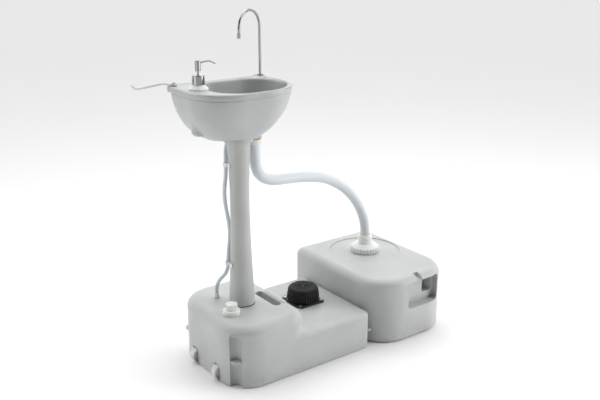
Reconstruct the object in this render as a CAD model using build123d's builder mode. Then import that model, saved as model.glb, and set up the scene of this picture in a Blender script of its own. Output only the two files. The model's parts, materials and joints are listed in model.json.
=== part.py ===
"""Portable handwash sink: a wheeled fresh-water tank with a foot pump, a column that carries the basin,
and a waste tank joined to the basin by a drain hose.

Millimetres. +Z is up, and +X runs along the base tank away from its wheels. The front of the basin faces -Y.
The origin is where the column's axis meets the floor.
"""

from build123d import *
from math import cos, pi, radians, sin, sqrt, tan
import os

# ---- Overall sizes -------------------------------------------------------------------------------------
BASE_LENGTH = 482.0         # along X
BASE_WIDTH = 348.0          # along Y
BASE_REAR = 128.0           # from the column's axis back to the wheel end
DECK_HEIGHT = 116.0         # the low deck that carries the pump
HUMP_HEIGHT = 184.0         # the high end that carries the column
RIM_HEIGHT = 827.0          # top of the basin's rim
FAUCET_RISE = 193.0         # from the rim to the top of the gooseneck

# ---- Base tank -----------------------------------------------------------------------------------------
BASE_WALL = 5.0
BASE_REAR_CORNER = 95.0
BASE_FRONT_CORNER = 22.0
HUMP_FRONT = 120.0          # where the hump's top ends, from the column's axis
HUMP_FRONT_CORNER = 60.0
HUMP_TOP_ROUND = 26.0
DECK_TOP_ROUND = 9.0
GROOVE_RADIUS = 19.0        # upright channels in the two rear corners
GROOVE_ANGLE = 36.0         # from the X axis, round the rear corner's centre
GROOVE_TOP = 148.0
STAKE_TAB_RADIUS = 11.0
STAKE_TAB_THICKNESS = 4.0
STAKE_HOLE_RADIUS = 3.5
FRONT_TAB_HEIGHT = 50.0
REAR_TAB_HEIGHT = 80.0
GRIP_SLOT_X = 76.0          # finger slot of the carry handle, centre
GRIP_SLOT_WIDTH = 26.0
GRIP_SLOT_LENGTH = 116.0
GRIP_SLOT_Y = -22.0
GRIP_SLOT_FLOOR = 138.0
GRIP_BAR_WIDTH = 22.0
GRIP_BAR_UNDERSIDE = 161.0

# ---- Wheels --------------------------------------------------------------------------------------------
WHEEL_RADIUS = 23.0
WHEEL_WIDTH = 22.0
WHEEL_HUB_RADIUS = 9.0
WHEEL_AXIS_X = -120.0
WHEEL_SPACING = 124.0
WHEEL_FLOOR_GAP = 0.2
AXLE_RADIUS = 4.0
AXLE_SEAT_DEPTH = 4.0       # how far each end of an axle sits in the tank's cheek
WHEEL_SIDE_GAP = 2.0
WHEEL_WELL_GAP = 4.0
RUNNING_FIT = 0.05          # radial clearance of a turning fit
SEAT_GAP = 0.3              # radial clearance of a fixed, seated fit

# ---- Fill cap ------------------------------------------------------------------------------------------
FILL_X, FILL_Y = -66.0, -48.0
FILL_NECK_RADIUS = 19.0
FILL_NECK_WALL = 2.5
FILL_NECK_HEIGHT = 10.0
FILL_CAP_RADIUS = 24.5
FILL_CAP_HEIGHT = 14.0
FILL_KNOB_RADIUS = 17.0
FILL_KNOB_HEIGHT = 18.0
FILL_KNOB_FLUTES = 18
FILL_SEAL_THICKNESS = 1.5

# ---- Foot pump -----------------------------------------------------------------------------------------
PUMP_X, PUMP_Y = 238.0, 20.0
PUMP_FLANGE_SIDE = 97.0
PUMP_FLANGE_THICKNESS = 5.0
PUMP_GASKET_THICKNESS = 1.5
PUMP_SCREW_PITCH = 81.0
PUMP_SCREW_RADIUS = 2.0
PUMP_SCREW_HEAD_RADIUS = 4.5
PUMP_BORE_RADIUS = 34.0     # hole in the deck for the chamber
PUMP_CUP_DEPTH = 34.0       # below the deck's top
PUMP_CUP_WALL = 2.5
BELLOWS_RADIUS = 47.0
BELLOWS_TOP_RADIUS = 37.0
BELLOWS_HEIGHT = 33.0
BELLOWS_WALL = 3.0
PEDAL_HEIGHT = 13.0
PUMP_STROKE = 26.0
PUMP_SPRING_RADIUS = 20.0
PUMP_SPRING_WIRE = 1.2
VALVE_OFFSET = 16.0
VALVE_RADIUS = 7.0
PORT_RADIUS = 3.6
TUBE_RADIUS = 5.0           # inner pick-up and outlet tubes
TUBE_BORE = 3.0

# ---- Supply hose ---------------------------------------------------------------------------------------
HOSE_RADIUS = 5.5
HOSE_BORE = 3.6
BARB_RADIUS = 3.4
SUPPLY_FITTING_X, SUPPLY_FITTING_Y = -43.0, 73.0
SUPPLY_FITTING_BASE = 10.0
SUPPLY_FITTING_HEIGHT = 16.0
SUPPLY_ROUTE = [            # from the fitting on the hump up the column to the faucet's tail
    (-43.0, 73.0, 200.0), (-43.0, 73.0, 220.0), (-40.0, 58.0, 247.0), (-33.5, 33.0, 272.0), (-30.8, 23.4, 296.0),
    (-30.3, 22.4, 320.0), (-24.0, 28.0, 350.0), (-15.0, 33.0, 388.0), (-18.0, 34.0, 432.0), (-31.0, 27.5, 480.0),
    (-36.0, 24.5, 525.0), (-31.5, 21.6, 567.0), (-29.6, 21.4, 593.0), (-29.3, 21.6, 617.0), (-23.5, 31.0, 644.0),
    (-4.0, 51.0, 665.0), (33.0, 70.0, 686.0), (78.0, 88.0, 704.0), (121.0, 101.0, 728.0), (146.0, 107.0, 764.0),
    (146.0, 107.0, 796.0),
]
CLIP_LOWER = (-30.55, 22.9, 308.0)
CLIP_UPPER = (-29.45, 21.5, 605.0)
CLIP_GAP = 0.9              # round the hose
CLIP_FOOT = 30.0            # across the clip's two feet
CLIP_HEIGHT = 12.0
CLIP_WALL = 2.2

# ---- Column --------------------------------------------------------------------------------------------
COLUMN_WALL = 3.5
COLUMN_SHAPE = [            # share of the way up the column, outer radius
    (0.0, 38.0), (0.0896, 35.8), (0.2544, 32.0), (0.4398, 29.0), (0.6045, 27.5), (0.7693, 28.0), (0.8929, 30.3),
    (1.0, 34.0),
]
COLUMN_TENON_RADIUS = 30.0
COLUMN_TENON_WALL = 3.0
COLUMN_SOCKET_DEPTH = 28.0
COLUMN_TOP_TENON_RADIUS = 27.0
COLUMN_TOP_TENON = 14.0
COLUMN_RING_THICKNESS = 2.5

# ---- Basin ---------------------------------------------------------------------------------------------
BASIN_LEFT, BASIN_RIGHT = -165.0, 154.0
BASIN_FRONT, BASIN_BACK = -135.0, 110.0
BASIN_FRONT_CORNER = 112.0
BASIN_BACK_CORNER = 52.0
BASIN_DEPTH = 160.0         # where the outer profile would close
BASIN_DROPS = [0.0, 24.0, 48.0, 70.0, 90.0, 108.0, 124.0, 137.0]     # section heights below the rim's top
BASIN_NECK_RADIUS = 41.0
BASIN_NECK_DROP = 155.0      # from the rim down to the foot of the neck
BOWL_LEFT, BOWL_RIGHT = -99.0, 134.0
BOWL_FRONT, BOWL_BACK = -117.0, 86.0
BOWL_LEFT_CORNER = 66.0
BOWL_RIGHT_CORNER = 88.0
BOWL_DEPTH = 130.0          # where the inner profile would close
BOWL_DROPS = [0.0, 24.0, 46.0, 66.0, 84.0, 99.0, 111.0]
RIM_LUG_RADIUS = 19.0
RIM_LUG_THICKNESS = 14.0
RIM_ROUND = 5.0

# ---- Faucet --------------------------------------------------------------------------------------------
FAUCET_X, FAUCET_Y = 146.0, 107.0
FAUCET_TUBE_RADIUS = 4.0
FAUCET_TUBE_BORE = 3.0
FAUCET_BEND = 50.0
FAUCET_ANGLE = 202.0        # the way the spout points, from +X
FAUCET_DROP = 14.0          # straight part after the bend
FAUCET_FLANGE_RADIUS = 9.0
FAUCET_FLANGE_HEIGHT = 5.0
FAUCET_SHANK_RADIUS = 7.0
FAUCET_SHANK_LENGTH = 26.0
FAUCET_NUT_RADIUS = 11.0
FAUCET_NUT_HEIGHT = 5.0
FAUCET_WASHER_THICKNESS = 1.5
NOZZLE_RADIUS = 5.6
NOZZLE_HEIGHT = 15.0

# ---- Soap pump -----------------------------------------------------------------------------------------
SOAP_X, SOAP_Y = -118.0, 0.0
SOAP_BOTTLE_RADIUS = 19.0
SOAP_BOTTLE_DEPTH = 106.0
SOAP_BOTTLE_WALL = 1.5
SOAP_WELL_WALL = 3.0
SOAP_FLANGE_RADIUS = 26.0
SOAP_FLANGE_HEIGHT = 4.0
SOAP_SHOULDER_HEIGHT = 10.0
SOAP_NECK_RADIUS = 12.0
SOAP_NECK_HEIGHT = 12.0
SOAP_SEAL_THICKNESS = 1.0
SOAP_COLLAR_RADIUS = 16.5
SOAP_COLLAR_HEIGHT = 25.0
SOAP_STEM_RADIUS = 3.5
SOAP_HEAD_RADIUS = 7.6
SOAP_HEAD_HEIGHT = 28.0
SOAP_STROKE = 9.0
SOAP_HEAD_GAP = 10.0        # stem that shows between collar and head
SOAP_SPOUT_REACH = 52.0
SOAP_SPOUT_RADIUS = 2.2

# ---- Towel arm -----------------------------------------------------------------------------------------
TOWEL_X, TOWEL_Y = -144.0, 89.0
TOWEL_EYE_RADIUS = 9.0
TOWEL_EYE_HEIGHT = 6.2
TOWEL_BAR_RADIUS = 3.0
TOWEL_SCREW_RADIUS = 3.0
TOWEL_SCREW_HEAD_RADIUS = 5.0
TOWEL_WASHER_THICKNESS = 1.2

# ---- Drain ---------------------------------------------------------------------------------------------
DRAIN_X, DRAIN_Y = 57.0, 6.0
DRAIN_BOSS_RADIUS = 21.0
DRAIN_BOSS_DROP = 155.0     # from the rim down to the foot of the boss
DRAIN_SEAT_DROP = 111.0     # from the rim down to the floor of the bowl at the drain
DRAIN_FLANGE_RADIUS = 22.0
DRAIN_FLANGE_THICKNESS = 3.0
DRAIN_TUBE_RADIUS = 12.6
DRAIN_TUBE_BORE = 10.5
DRAIN_NUT_RADIUS = 19.5
DRAIN_NUT_HEIGHT = 15.0
DRAIN_SEAL_THICKNESS = 2.0
DRAIN_HOSE_RADIUS = 16.0
DRAIN_HOSE_BORE = 13.0
DRAIN_BARB_LENGTH = 18.0
HOSE_END_HEIGHT = 238.0     # where the hose's lower end sits in the sleeve

# ---- Waste tank ----------------------------------------------------------------------------------------
TANK_LEFT, TANK_RIGHT = 358.0, 675.0
TANK_FRONT, TANK_BACK = -205.0, 230.0
TANK_HEIGHT = 206.0
TANK_WALL = 4.0
TANK_FRONT_CORNER = 110.0
TANK_BACK_CORNER = 20.0
TANK_TOP_ROUND = 24.0
TANK_BOTTOM_ROUND = 12.0
NECK_X, NECK_Y = 532.0, 68.0
NECK_RADIUS = 36.0
NECK_HEIGHT = 16.0
TANK_RECESS_RADIUS = 118.0
TANK_RECESS_DEPTH = 2.5
PULL_LEFT, PULL_RIGHT = 481.0, 616.0      # grip recess in the front wall
PULL_BOTTOM, PULL_TOP = 102.0, 190.0
PULL_DEPTH = 32.0
PULL_POCKET_LEFT, PULL_POCKET_RIGHT = 567.0, 605.0
PULL_POCKET_BOTTOM = 128.0
PULL_POCKET_DEPTH = 62.0
PULL_SLOT_X = 528.0
PULL_SLOT_WIDTH = 20.0
PULL_SLOT_LENGTH = 36.0
RING_RADIUS = 48.0
RING_HEIGHT = 27.0
RING_FLUTES = 36
SLEEVE_RADIUS = 23.5
SLEEVE_FLANGE_RADIUS = 33.0
SLEEVE_FLANGE_THICKNESS = 3.0
SLEEVE_TOP = 258.0
FERRULE_RADIUS = 19.0
FERRULE_HEIGHT = 6.0
GASKET_THICKNESS = 2.0

# ---- Heights that follow from the rim ------------------------------------------------------------------
FAUCET_HEIGHT = RIM_HEIGHT + FAUCET_RISE
BASIN_NECK_BOTTOM = RIM_HEIGHT - BASIN_NECK_DROP
DRAIN_BOSS_BOTTOM = RIM_HEIGHT - DRAIN_BOSS_DROP
DRAIN_SEAT_HEIGHT = RIM_HEIGHT - DRAIN_SEAT_DROP
COLUMN_FOOT = HUMP_HEIGHT + COLUMN_RING_THICKNESS
COLUMN_PROFILE = [(COLUMN_FOOT + share * (BASIN_NECK_BOTTOM - COLUMN_FOOT), radius) for share, radius in COLUMN_SHAPE]

# ---- The drain hose's route ----------------------------------------------------------------------------
HOSE_TOP_HEIGHT = DRAIN_BOSS_BOTTOM - DRAIN_SEAL_THICKNESS - DRAIN_NUT_HEIGHT
DRAIN_ROUTE = [             # from the nut under the basin to the waste tank's neck
    (57.0, 6.0, HOSE_TOP_HEIGHT), (57.0, 6.0, 622.0), (60.5, 6.3, 578.0), (88.0, 10.5, 546.0), (136.0, 16.5, 532.0),
    (190.0, 24.0, 527.5), (250.0, 32.0, 519.0), (310.0, 39.5, 507.0), (362.0, 46.5, 488.0), (412.0, 53.0, 459.0),
    (461.0, 59.5, 419.0), (501.0, 65.0, 368.0), (526.0, 68.2, 318.0), (532.0, 68.0, 276.0),
    (532.0, 68.0, HOSE_END_HEIGHT),
]


def route_radii(route):
    """Corner radii of a hose: 0.45 of the shorter neighbouring run over the tangent of half the turn."""
    points = [Vector(*p) for p in route]
    radii = []
    for before, corner, after in zip(points, points[1:], points[2:]):
        run_in = corner - before
        run_out = after - corner
        half_turn = radians(run_in.get_angle(run_out)) / 2
        radii.append(0.45 * min(run_in.length, run_out.length) / tan(half_turn))
    return radii


def finish(part, label):
    """Label a finished piece and write it as its own STEP file."""
    part.label = label
    export_step(part, f"parts/{label}.step")


os.makedirs("parts", exist_ok=True)

base_front_x = BASE_LENGTH - BASE_REAR
half_width = BASE_WIDTH / 2
groove_reach = BASE_REAR_CORNER + 2.0
groove_x = -BASE_REAR + BASE_REAR_CORNER - groove_reach * cos(radians(GROOVE_ANGLE))
groove_y = half_width - BASE_REAR_CORNER + groove_reach * sin(radians(GROOVE_ANGLE))
grip_bar_x = GRIP_SLOT_X + (GRIP_SLOT_WIDTH + GRIP_BAR_WIDTH) / 2
well_width = WHEEL_WIDTH + 2 * WHEEL_SIDE_GAP
wheel_axis_z = WHEEL_RADIUS + WHEEL_FLOOR_GAP
column_top = COLUMN_PROFILE[-1][0]


def block(x0, x1, y0, y1, z0, z1, mode=Mode.ADD):
    """A box between two corners, added to or cut from the part being built."""
    centre = ((x0 + x1) / 2, (y0 + y1) / 2, (z0 + z1) / 2)
    with Locations(centre):
        Box(x1 - x0, y1 - y0, z1 - z0, mode=mode)


def post(x, y, radius, z0, z1, mode=Mode.ADD):
    """An upright cylinder between two heights, added to or cut from the part being built."""
    with Locations((x, y, z0)):
        Cylinder(radius, z1 - z0, align=(Align.CENTER, Align.CENTER, Align.MIN), mode=mode)


def outline(x0, x1, y0, y1, left_corner, right_corner):
    """A rectangle in the sketch being built, with one radius for its two -X corners and one for its +X corners."""
    with Locations(((x0 + x1) / 2, (y0 + y1) / 2)):
        Rectangle(x1 - x0, y1 - y0)
    fillet(vertices().group_by(Axis.X)[0], left_corner)
    fillet(vertices().group_by(Axis.X)[-1], right_corner)


def outline_front_back(x0, x1, y0, y1, front_corner, back_corner):
    """A rectangle in the sketch being built, with one radius for its two -Y corners and one for its +Y corners."""
    with Locations(((x0 + x1) / 2, (y0 + y1) / 2)):
        Rectangle(x1 - x0, y1 - y0)
    fillet(vertices().group_by(Axis.Y)[0], front_corner)
    fillet(vertices().group_by(Axis.Y)[-1], back_corner)


# ---- Base tank -----------------------------------------------------------------------------------------
with BuildPart() as base_cavity:
    inner_corner = BASE_REAR_CORNER - BASE_WALL
    with BuildSketch(Plane.XY.offset(BASE_WALL)):
        outline(-BASE_REAR + BASE_WALL, HUMP_FRONT - BASE_WALL, -half_width + BASE_WALL, half_width - BASE_WALL,
                inner_corner, HUMP_FRONT_CORNER - BASE_WALL)
    extrude(amount=HUMP_HEIGHT - 2 * BASE_WALL)
    fillet(base_cavity.faces().sort_by(Axis.Z)[-1].edges(), HUMP_TOP_ROUND - BASE_WALL)
    block(0, base_front_x - BASE_WALL, -half_width + BASE_WALL, half_width - BASE_WALL, BASE_WALL,
          DECK_HEIGHT - BASE_WALL)
    # walls kept round the channels, the wheel wells, the column's socket, the carry handle and the pump's bore
    for side in (-1, 1):
        post(groove_x, side * groove_y, GROOVE_RADIUS + BASE_WALL, 0, GROOVE_TOP + BASE_WALL, Mode.SUBTRACT)
        with Locations((groove_x, side * groove_y, GROOVE_TOP)):
            Sphere(GROOVE_RADIUS + BASE_WALL, mode=Mode.SUBTRACT)
        well_y = side * WHEEL_SPACING / 2
        block(-BASE_REAR, WHEEL_AXIS_X + WHEEL_RADIUS + WHEEL_WELL_GAP + BASE_WALL,
              well_y - well_width / 2 - BASE_WALL - 2, well_y + well_width / 2 + BASE_WALL + 2,
              0, wheel_axis_z + WHEEL_RADIUS + WHEEL_WELL_GAP + BASE_WALL, Mode.SUBTRACT)
    post(0, 0, COLUMN_TENON_RADIUS + SEAT_GAP + BASE_WALL, HUMP_HEIGHT - COLUMN_SOCKET_DEPTH - BASE_WALL,
         HUMP_HEIGHT, Mode.SUBTRACT)
    block(GRIP_SLOT_X - GRIP_SLOT_WIDTH / 2 - BASE_WALL, HUMP_FRONT,
          GRIP_SLOT_Y - GRIP_SLOT_LENGTH / 2 - BASE_WALL, GRIP_SLOT_Y + GRIP_SLOT_LENGTH / 2 + BASE_WALL,
          GRIP_SLOT_FLOOR - BASE_WALL, HUMP_HEIGHT, Mode.SUBTRACT)

with BuildPart() as base_tank:
    with BuildSketch():
        outline(-BASE_REAR, HUMP_FRONT, -half_width, half_width, BASE_REAR_CORNER, HUMP_FRONT_CORNER)
    extrude(amount=HUMP_HEIGHT)
    fillet(base_tank.faces().sort_by(Axis.Z)[-1].edges(), HUMP_TOP_ROUND)
    with BuildPart(mode=Mode.PRIVATE) as deck:
        with BuildSketch():
            outline(-20, base_front_x, -half_width, half_width, BASE_FRONT_CORNER, BASE_FRONT_CORNER)
        extrude(amount=DECK_HEIGHT)
        fillet(deck.faces().sort_by(Axis.Z)[-1].edges(), DECK_TOP_ROUND)
    add(deck.part)
    fillet(base_tank.faces().sort_by(Axis.Z)[0].edges(), 6.0)
    # stake tab on the front end
    front_tab_y = -half_width + BASE_FRONT_CORNER
    with Locations((base_front_x + 6.0, front_tab_y, FRONT_TAB_HEIGHT)):
        Cylinder(STAKE_TAB_RADIUS, STAKE_TAB_THICKNESS)
        Cylinder(STAKE_HOLE_RADIUS, STAKE_TAB_THICKNESS, mode=Mode.SUBTRACT)
    for side in (-1, 1):
        post(groove_x, side * groove_y, GROOVE_RADIUS, 0, GROOVE_TOP, Mode.SUBTRACT)
        with Locations((groove_x, side * groove_y, GROOVE_TOP)):
            Sphere(GROOVE_RADIUS, mode=Mode.SUBTRACT)
    add(base_cavity.part, mode=Mode.SUBTRACT)
    # a stake tab across each rear channel, then the wheel wells and the seats of their axles
    for side in (-1, 1):
        web_shift = 9.0
        web_x = groove_x + web_shift * cos(radians(GROOVE_ANGLE))
        web_y = side * (groove_y - web_shift * sin(radians(GROOVE_ANGLE)))
        with Locations((web_x, web_y, REAR_TAB_HEIGHT)):
            Cylinder(GROOVE_RADIUS - 3.0, STAKE_TAB_THICKNESS)
            Cylinder(STAKE_HOLE_RADIUS, STAKE_TAB_THICKNESS, mode=Mode.SUBTRACT)
        well_y = side * WHEEL_SPACING / 2
        block(-BASE_REAR - 1, WHEEL_AXIS_X + WHEEL_RADIUS + WHEEL_WELL_GAP,
              well_y - well_width / 2, well_y + well_width / 2,
              -1, wheel_axis_z + WHEEL_RADIUS + WHEEL_WELL_GAP, Mode.SUBTRACT)
        with Locations(Location((WHEEL_AXIS_X, well_y, wheel_axis_z), (90, 0, 0))):
            Cylinder(AXLE_RADIUS, well_width + 2 * AXLE_SEAT_DEPTH, mode=Mode.SUBTRACT)
    # the column's socket
    post(0, 0, COLUMN_TENON_RADIUS + SEAT_GAP, HUMP_HEIGHT - COLUMN_SOCKET_DEPTH, HUMP_HEIGHT, Mode.SUBTRACT)
    # the carry handle: a finger slot in the hump's top that opens forward under a bar
    with BuildSketch(Plane.XY.offset(HUMP_HEIGHT)):
        with Locations((GRIP_SLOT_X, GRIP_SLOT_Y)):
            RectangleRounded(GRIP_SLOT_WIDTH, GRIP_SLOT_LENGTH, GRIP_SLOT_WIDTH / 2 - 1)
    extrude(amount=GRIP_SLOT_FLOOR - HUMP_HEIGHT, mode=Mode.SUBTRACT)
    block(GRIP_SLOT_X, HUMP_FRONT + 1, GRIP_SLOT_Y - GRIP_SLOT_LENGTH / 2 + 10, GRIP_SLOT_Y + GRIP_SLOT_LENGTH / 2 - 10,
          GRIP_SLOT_FLOOR, GRIP_BAR_UNDERSIDE, Mode.SUBTRACT)
    block(grip_bar_x + GRIP_BAR_WIDTH / 2, HUMP_FRONT + 1,
          GRIP_SLOT_Y - GRIP_SLOT_LENGTH / 2 + 10, GRIP_SLOT_Y + GRIP_SLOT_LENGTH / 2 - 10,
          GRIP_SLOT_FLOOR, HUMP_HEIGHT + 1, Mode.SUBTRACT)
    # filling neck, with its thread's plain outer wall
    post(FILL_X, FILL_Y, FILL_NECK_RADIUS, HUMP_HEIGHT - BASE_WALL, HUMP_HEIGHT + FILL_NECK_HEIGHT)
    post(FILL_X, FILL_Y, FILL_NECK_RADIUS - FILL_NECK_WALL, HUMP_HEIGHT - 2 * BASE_WALL,
         HUMP_HEIGHT + FILL_NECK_HEIGHT, Mode.SUBTRACT)
    # pump bore, its screw holes and the outlet's hole
    post(PUMP_X, PUMP_Y, PUMP_BORE_RADIUS, DECK_HEIGHT - 2 * BASE_WALL, DECK_HEIGHT, Mode.SUBTRACT)
    with Locations((PUMP_X, PUMP_Y, DECK_HEIGHT)):
        with GridLocations(PUMP_SCREW_PITCH, PUMP_SCREW_PITCH, 2, 2):
            Cylinder(PUMP_SCREW_RADIUS, 2 * BASE_WALL + 2, mode=Mode.SUBTRACT)
    post(SUPPLY_FITTING_X, SUPPLY_FITTING_Y, TUBE_RADIUS + SEAT_GAP, HUMP_HEIGHT - 2 * BASE_WALL, HUMP_HEIGHT,
         Mode.SUBTRACT)
finish(base_tank.part, "base_tank")

# ---- Wheels and axles ----------------------------------------------------------------------------------
for name, side in (("rear", 1), ("front", -1)):
    wheel_y = side * WHEEL_SPACING / 2
    wheel_plane = Plane((WHEEL_AXIS_X, wheel_y, wheel_axis_z), x_dir=(1, 0, 0), z_dir=(0, 1, 0))
    with BuildPart() as wheel:
        with BuildSketch(wheel_plane):
            Circle(WHEEL_RADIUS)
        extrude(amount=WHEEL_WIDTH / 2, both=True)
        fillet(wheel.edges().filter_by(GeomType.CIRCLE), 3.0)
        for face_offset in (-WHEEL_WIDTH / 2, WHEEL_WIDTH / 2 - 3.0):
            with BuildSketch(wheel_plane.offset(face_offset)):
                Circle(WHEEL_RADIUS - 5.0)
                Circle(WHEEL_HUB_RADIUS, mode=Mode.SUBTRACT)
            extrude(amount=3.0, mode=Mode.SUBTRACT)
        with BuildSketch(wheel_plane):
            Circle(AXLE_RADIUS + RUNNING_FIT)
        extrude(amount=WHEEL_WIDTH, both=True, mode=Mode.SUBTRACT)
    finish(wheel.part, f"wheel_{name}")
    with BuildPart() as axle:
        with BuildSketch(wheel_plane):
            Circle(AXLE_RADIUS)
        extrude(amount=well_width / 2 + AXLE_SEAT_DEPTH, both=True)
    finish(axle.part, f"axle_{name}")

# ---- Fill cap ------------------------------------------------------------------------------------------
seal_bottom = HUMP_HEIGHT + FILL_NECK_HEIGHT
with BuildPart() as fill_cap_seal:
    post(FILL_X, FILL_Y, FILL_NECK_RADIUS, seal_bottom, seal_bottom + FILL_SEAL_THICKNESS)
    post(FILL_X, FILL_Y, FILL_NECK_RADIUS - FILL_NECK_WALL, seal_bottom, seal_bottom + FILL_SEAL_THICKNESS,
         Mode.SUBTRACT)
finish(fill_cap_seal.part, "fill_cap_seal")

with BuildPart() as fill_cap:
    cap_bottom = HUMP_HEIGHT + 0.5
    post(FILL_X, FILL_Y, FILL_CAP_RADIUS, cap_bottom, HUMP_HEIGHT + FILL_CAP_HEIGHT)
    fillet(fill_cap.edges().group_by(Axis.Z)[-1], 3.0)
    post(FILL_X, FILL_Y, FILL_KNOB_RADIUS, HUMP_HEIGHT + FILL_CAP_HEIGHT,
         HUMP_HEIGHT + FILL_CAP_HEIGHT + FILL_KNOB_HEIGHT)
    fillet(fill_cap.edges().group_by(Axis.Z)[-1], 2.5)
    with Locations((FILL_X, FILL_Y, HUMP_HEIGHT + FILL_CAP_HEIGHT)):
        with PolarLocations(FILL_KNOB_RADIUS + 0.8, FILL_KNOB_FLUTES):
            Cylinder(1.8, FILL_KNOB_HEIGHT + 1, align=(Align.CENTER, Align.CENTER, Align.MIN), mode=Mode.SUBTRACT)
    post(FILL_X, FILL_Y, FILL_NECK_RADIUS + SEAT_GAP, cap_bottom, seal_bottom + FILL_SEAL_THICKNESS, Mode.SUBTRACT)
finish(fill_cap.part, "fill_cap")

# ---- Foot pump -----------------------------------------------------------------------------------------
gasket_top = DECK_HEIGHT + PUMP_GASKET_THICKNESS
flange_top = gasket_top + PUMP_FLANGE_THICKNESS
pedal_bottom = flange_top + BELLOWS_HEIGHT
cup_bottom = DECK_HEIGHT - PUMP_CUP_DEPTH
cup_radius = PUMP_BORE_RADIUS - SEAT_GAP
cup_floor = cup_bottom + PUMP_CUP_WALL


def pump_plate(bore):
    """Square plate of the pump, in the sketch being built, with its centre bore and its four screw holes."""
    with Locations((PUMP_X, PUMP_Y)):
        RectangleRounded(PUMP_FLANGE_SIDE, PUMP_FLANGE_SIDE, 6.0)
        Circle(bore, mode=Mode.SUBTRACT)
        with GridLocations(PUMP_SCREW_PITCH, PUMP_SCREW_PITCH, 2, 2):
            Circle(PUMP_SCREW_RADIUS, mode=Mode.SUBTRACT)


with BuildPart() as pump_gasket:
    with BuildSketch(Plane.XY.offset(DECK_HEIGHT)):
        pump_plate(PUMP_BORE_RADIUS)
    extrude(amount=PUMP_GASKET_THICKNESS)
finish(pump_gasket.part, "pump_gasket")

with BuildPart() as pump_flange:
    with BuildSketch(Plane.XY.offset(gasket_top)):
        pump_plate(cup_radius - PUMP_CUP_WALL)
    extrude(amount=PUMP_FLANGE_THICKNESS)
finish(pump_flange.part, "pump_flange")

with BuildPart() as pump_screws:
    with Locations((PUMP_X, PUMP_Y, flange_top)):
        with GridLocations(PUMP_SCREW_PITCH, PUMP_SCREW_PITCH, 2, 2):
            Cylinder(PUMP_SCREW_HEAD_RADIUS, 2.4, align=(Align.CENTER, Align.CENTER, Align.MIN))
            Cylinder(PUMP_SCREW_RADIUS, flange_top - DECK_HEIGHT + BASE_WALL,
                     align=(Align.CENTER, Align.CENTER, Align.MAX))
finish(pump_screws.part, "pump_screws")

with BuildPart() as pump_cup:
    post(PUMP_X, PUMP_Y, cup_radius, cup_bottom, gasket_top)
    post(PUMP_X, PUMP_Y, cup_radius - PUMP_CUP_WALL, cup_floor, gasket_top, Mode.SUBTRACT)
    for side in (-1, 1):
        port_x = PUMP_X + side * VALVE_OFFSET
        post(port_x, PUMP_Y, TUBE_RADIUS + 1.8, cup_bottom - 8.0, cup_bottom)
        post(port_x, PUMP_Y, TUBE_RADIUS + SEAT_GAP, cup_bottom - 8.0, cup_bottom, Mode.SUBTRACT)
        post(port_x, PUMP_Y, TUBE_BORE, cup_bottom, cup_floor, Mode.SUBTRACT)
finish(pump_cup.part, "pump_cup")

for name, side in (("inlet", 1), ("outlet", -1)):
    with BuildPart() as valve:
        post(PUMP_X + side * VALVE_OFFSET, PUMP_Y, VALVE_RADIUS, cup_floor, cup_floor + 1.2)
        post(PUMP_X + side * VALVE_OFFSET, PUMP_Y, 2.0, cup_floor + 1.2, cup_floor + 2.6)
    finish(valve.part, f"{name}_valve")

with BuildPart() as pump_bellows:
    with BuildSketch(Plane.XZ.offset(-PUMP_Y)):
        with BuildLine():
            outer = Spline((PUMP_X + BELLOWS_RADIUS, flange_top), (PUMP_X + BELLOWS_RADIUS - 1.5, flange_top + 18.0),
                           (PUMP_X + BELLOWS_TOP_RADIUS, pedal_bottom))
            Line(outer @ 1, (PUMP_X + BELLOWS_TOP_RADIUS - BELLOWS_WALL, pedal_bottom))
            inner = Spline((PUMP_X + BELLOWS_TOP_RADIUS - BELLOWS_WALL, pedal_bottom),
                           (PUMP_X + BELLOWS_RADIUS - 1.5 - BELLOWS_WALL, flange_top + 17.0),
                           (PUMP_X + BELLOWS_RADIUS - BELLOWS_WALL, flange_top))
            Line(inner @ 1, outer @ 0)
        make_face()
    revolve(axis=Axis((PUMP_X, PUMP_Y, 0), (0, 0, 1)))
finish(pump_bellows.part, "pump_bellows")

with BuildPart() as pump_pedal:
    post(PUMP_X, PUMP_Y, BELLOWS_TOP_RADIUS, pedal_bottom, pedal_bottom + PEDAL_HEIGHT)
    fillet(pump_pedal.edges().group_by(Axis.Z)[-1], 6.0)
    post(PUMP_X, PUMP_Y, PUMP_SPRING_RADIUS - 4.0, pedal_bottom - 5.0, pedal_bottom)
finish(pump_pedal.part, "pump_pedal")

with BuildPart() as pump_spring:
    spring_start = cup_floor + 5.0
    spring_length = pedal_bottom - spring_start - PUMP_SPRING_WIRE - 0.2
    with BuildLine():
        coil = Helix(pitch=spring_length / 6, height=spring_length, radius=PUMP_SPRING_RADIUS,
                     center=(PUMP_X, PUMP_Y, spring_start))
    with BuildSketch(Plane(coil @ 0, z_dir=coil % 0)):
        Circle(PUMP_SPRING_WIRE)
    sweep(is_frenet=True)
finish(pump_spring.part, "pump_spring")

# ---- Pick-up tube, strainer and inner outlet tube -------------------------------------------------------
inlet_x = PUMP_X + VALVE_OFFSET
outlet_x = PUMP_X - VALVE_OFFSET
strainer_top = BASE_WALL + 16.0
with BuildPart() as dip_tube:
    post(inlet_x, PUMP_Y, TUBE_RADIUS, strainer_top, cup_bottom)
    post(inlet_x, PUMP_Y, TUBE_BORE, strainer_top, cup_bottom, Mode.SUBTRACT)
finish(dip_tube.part, "dip_tube")

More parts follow.
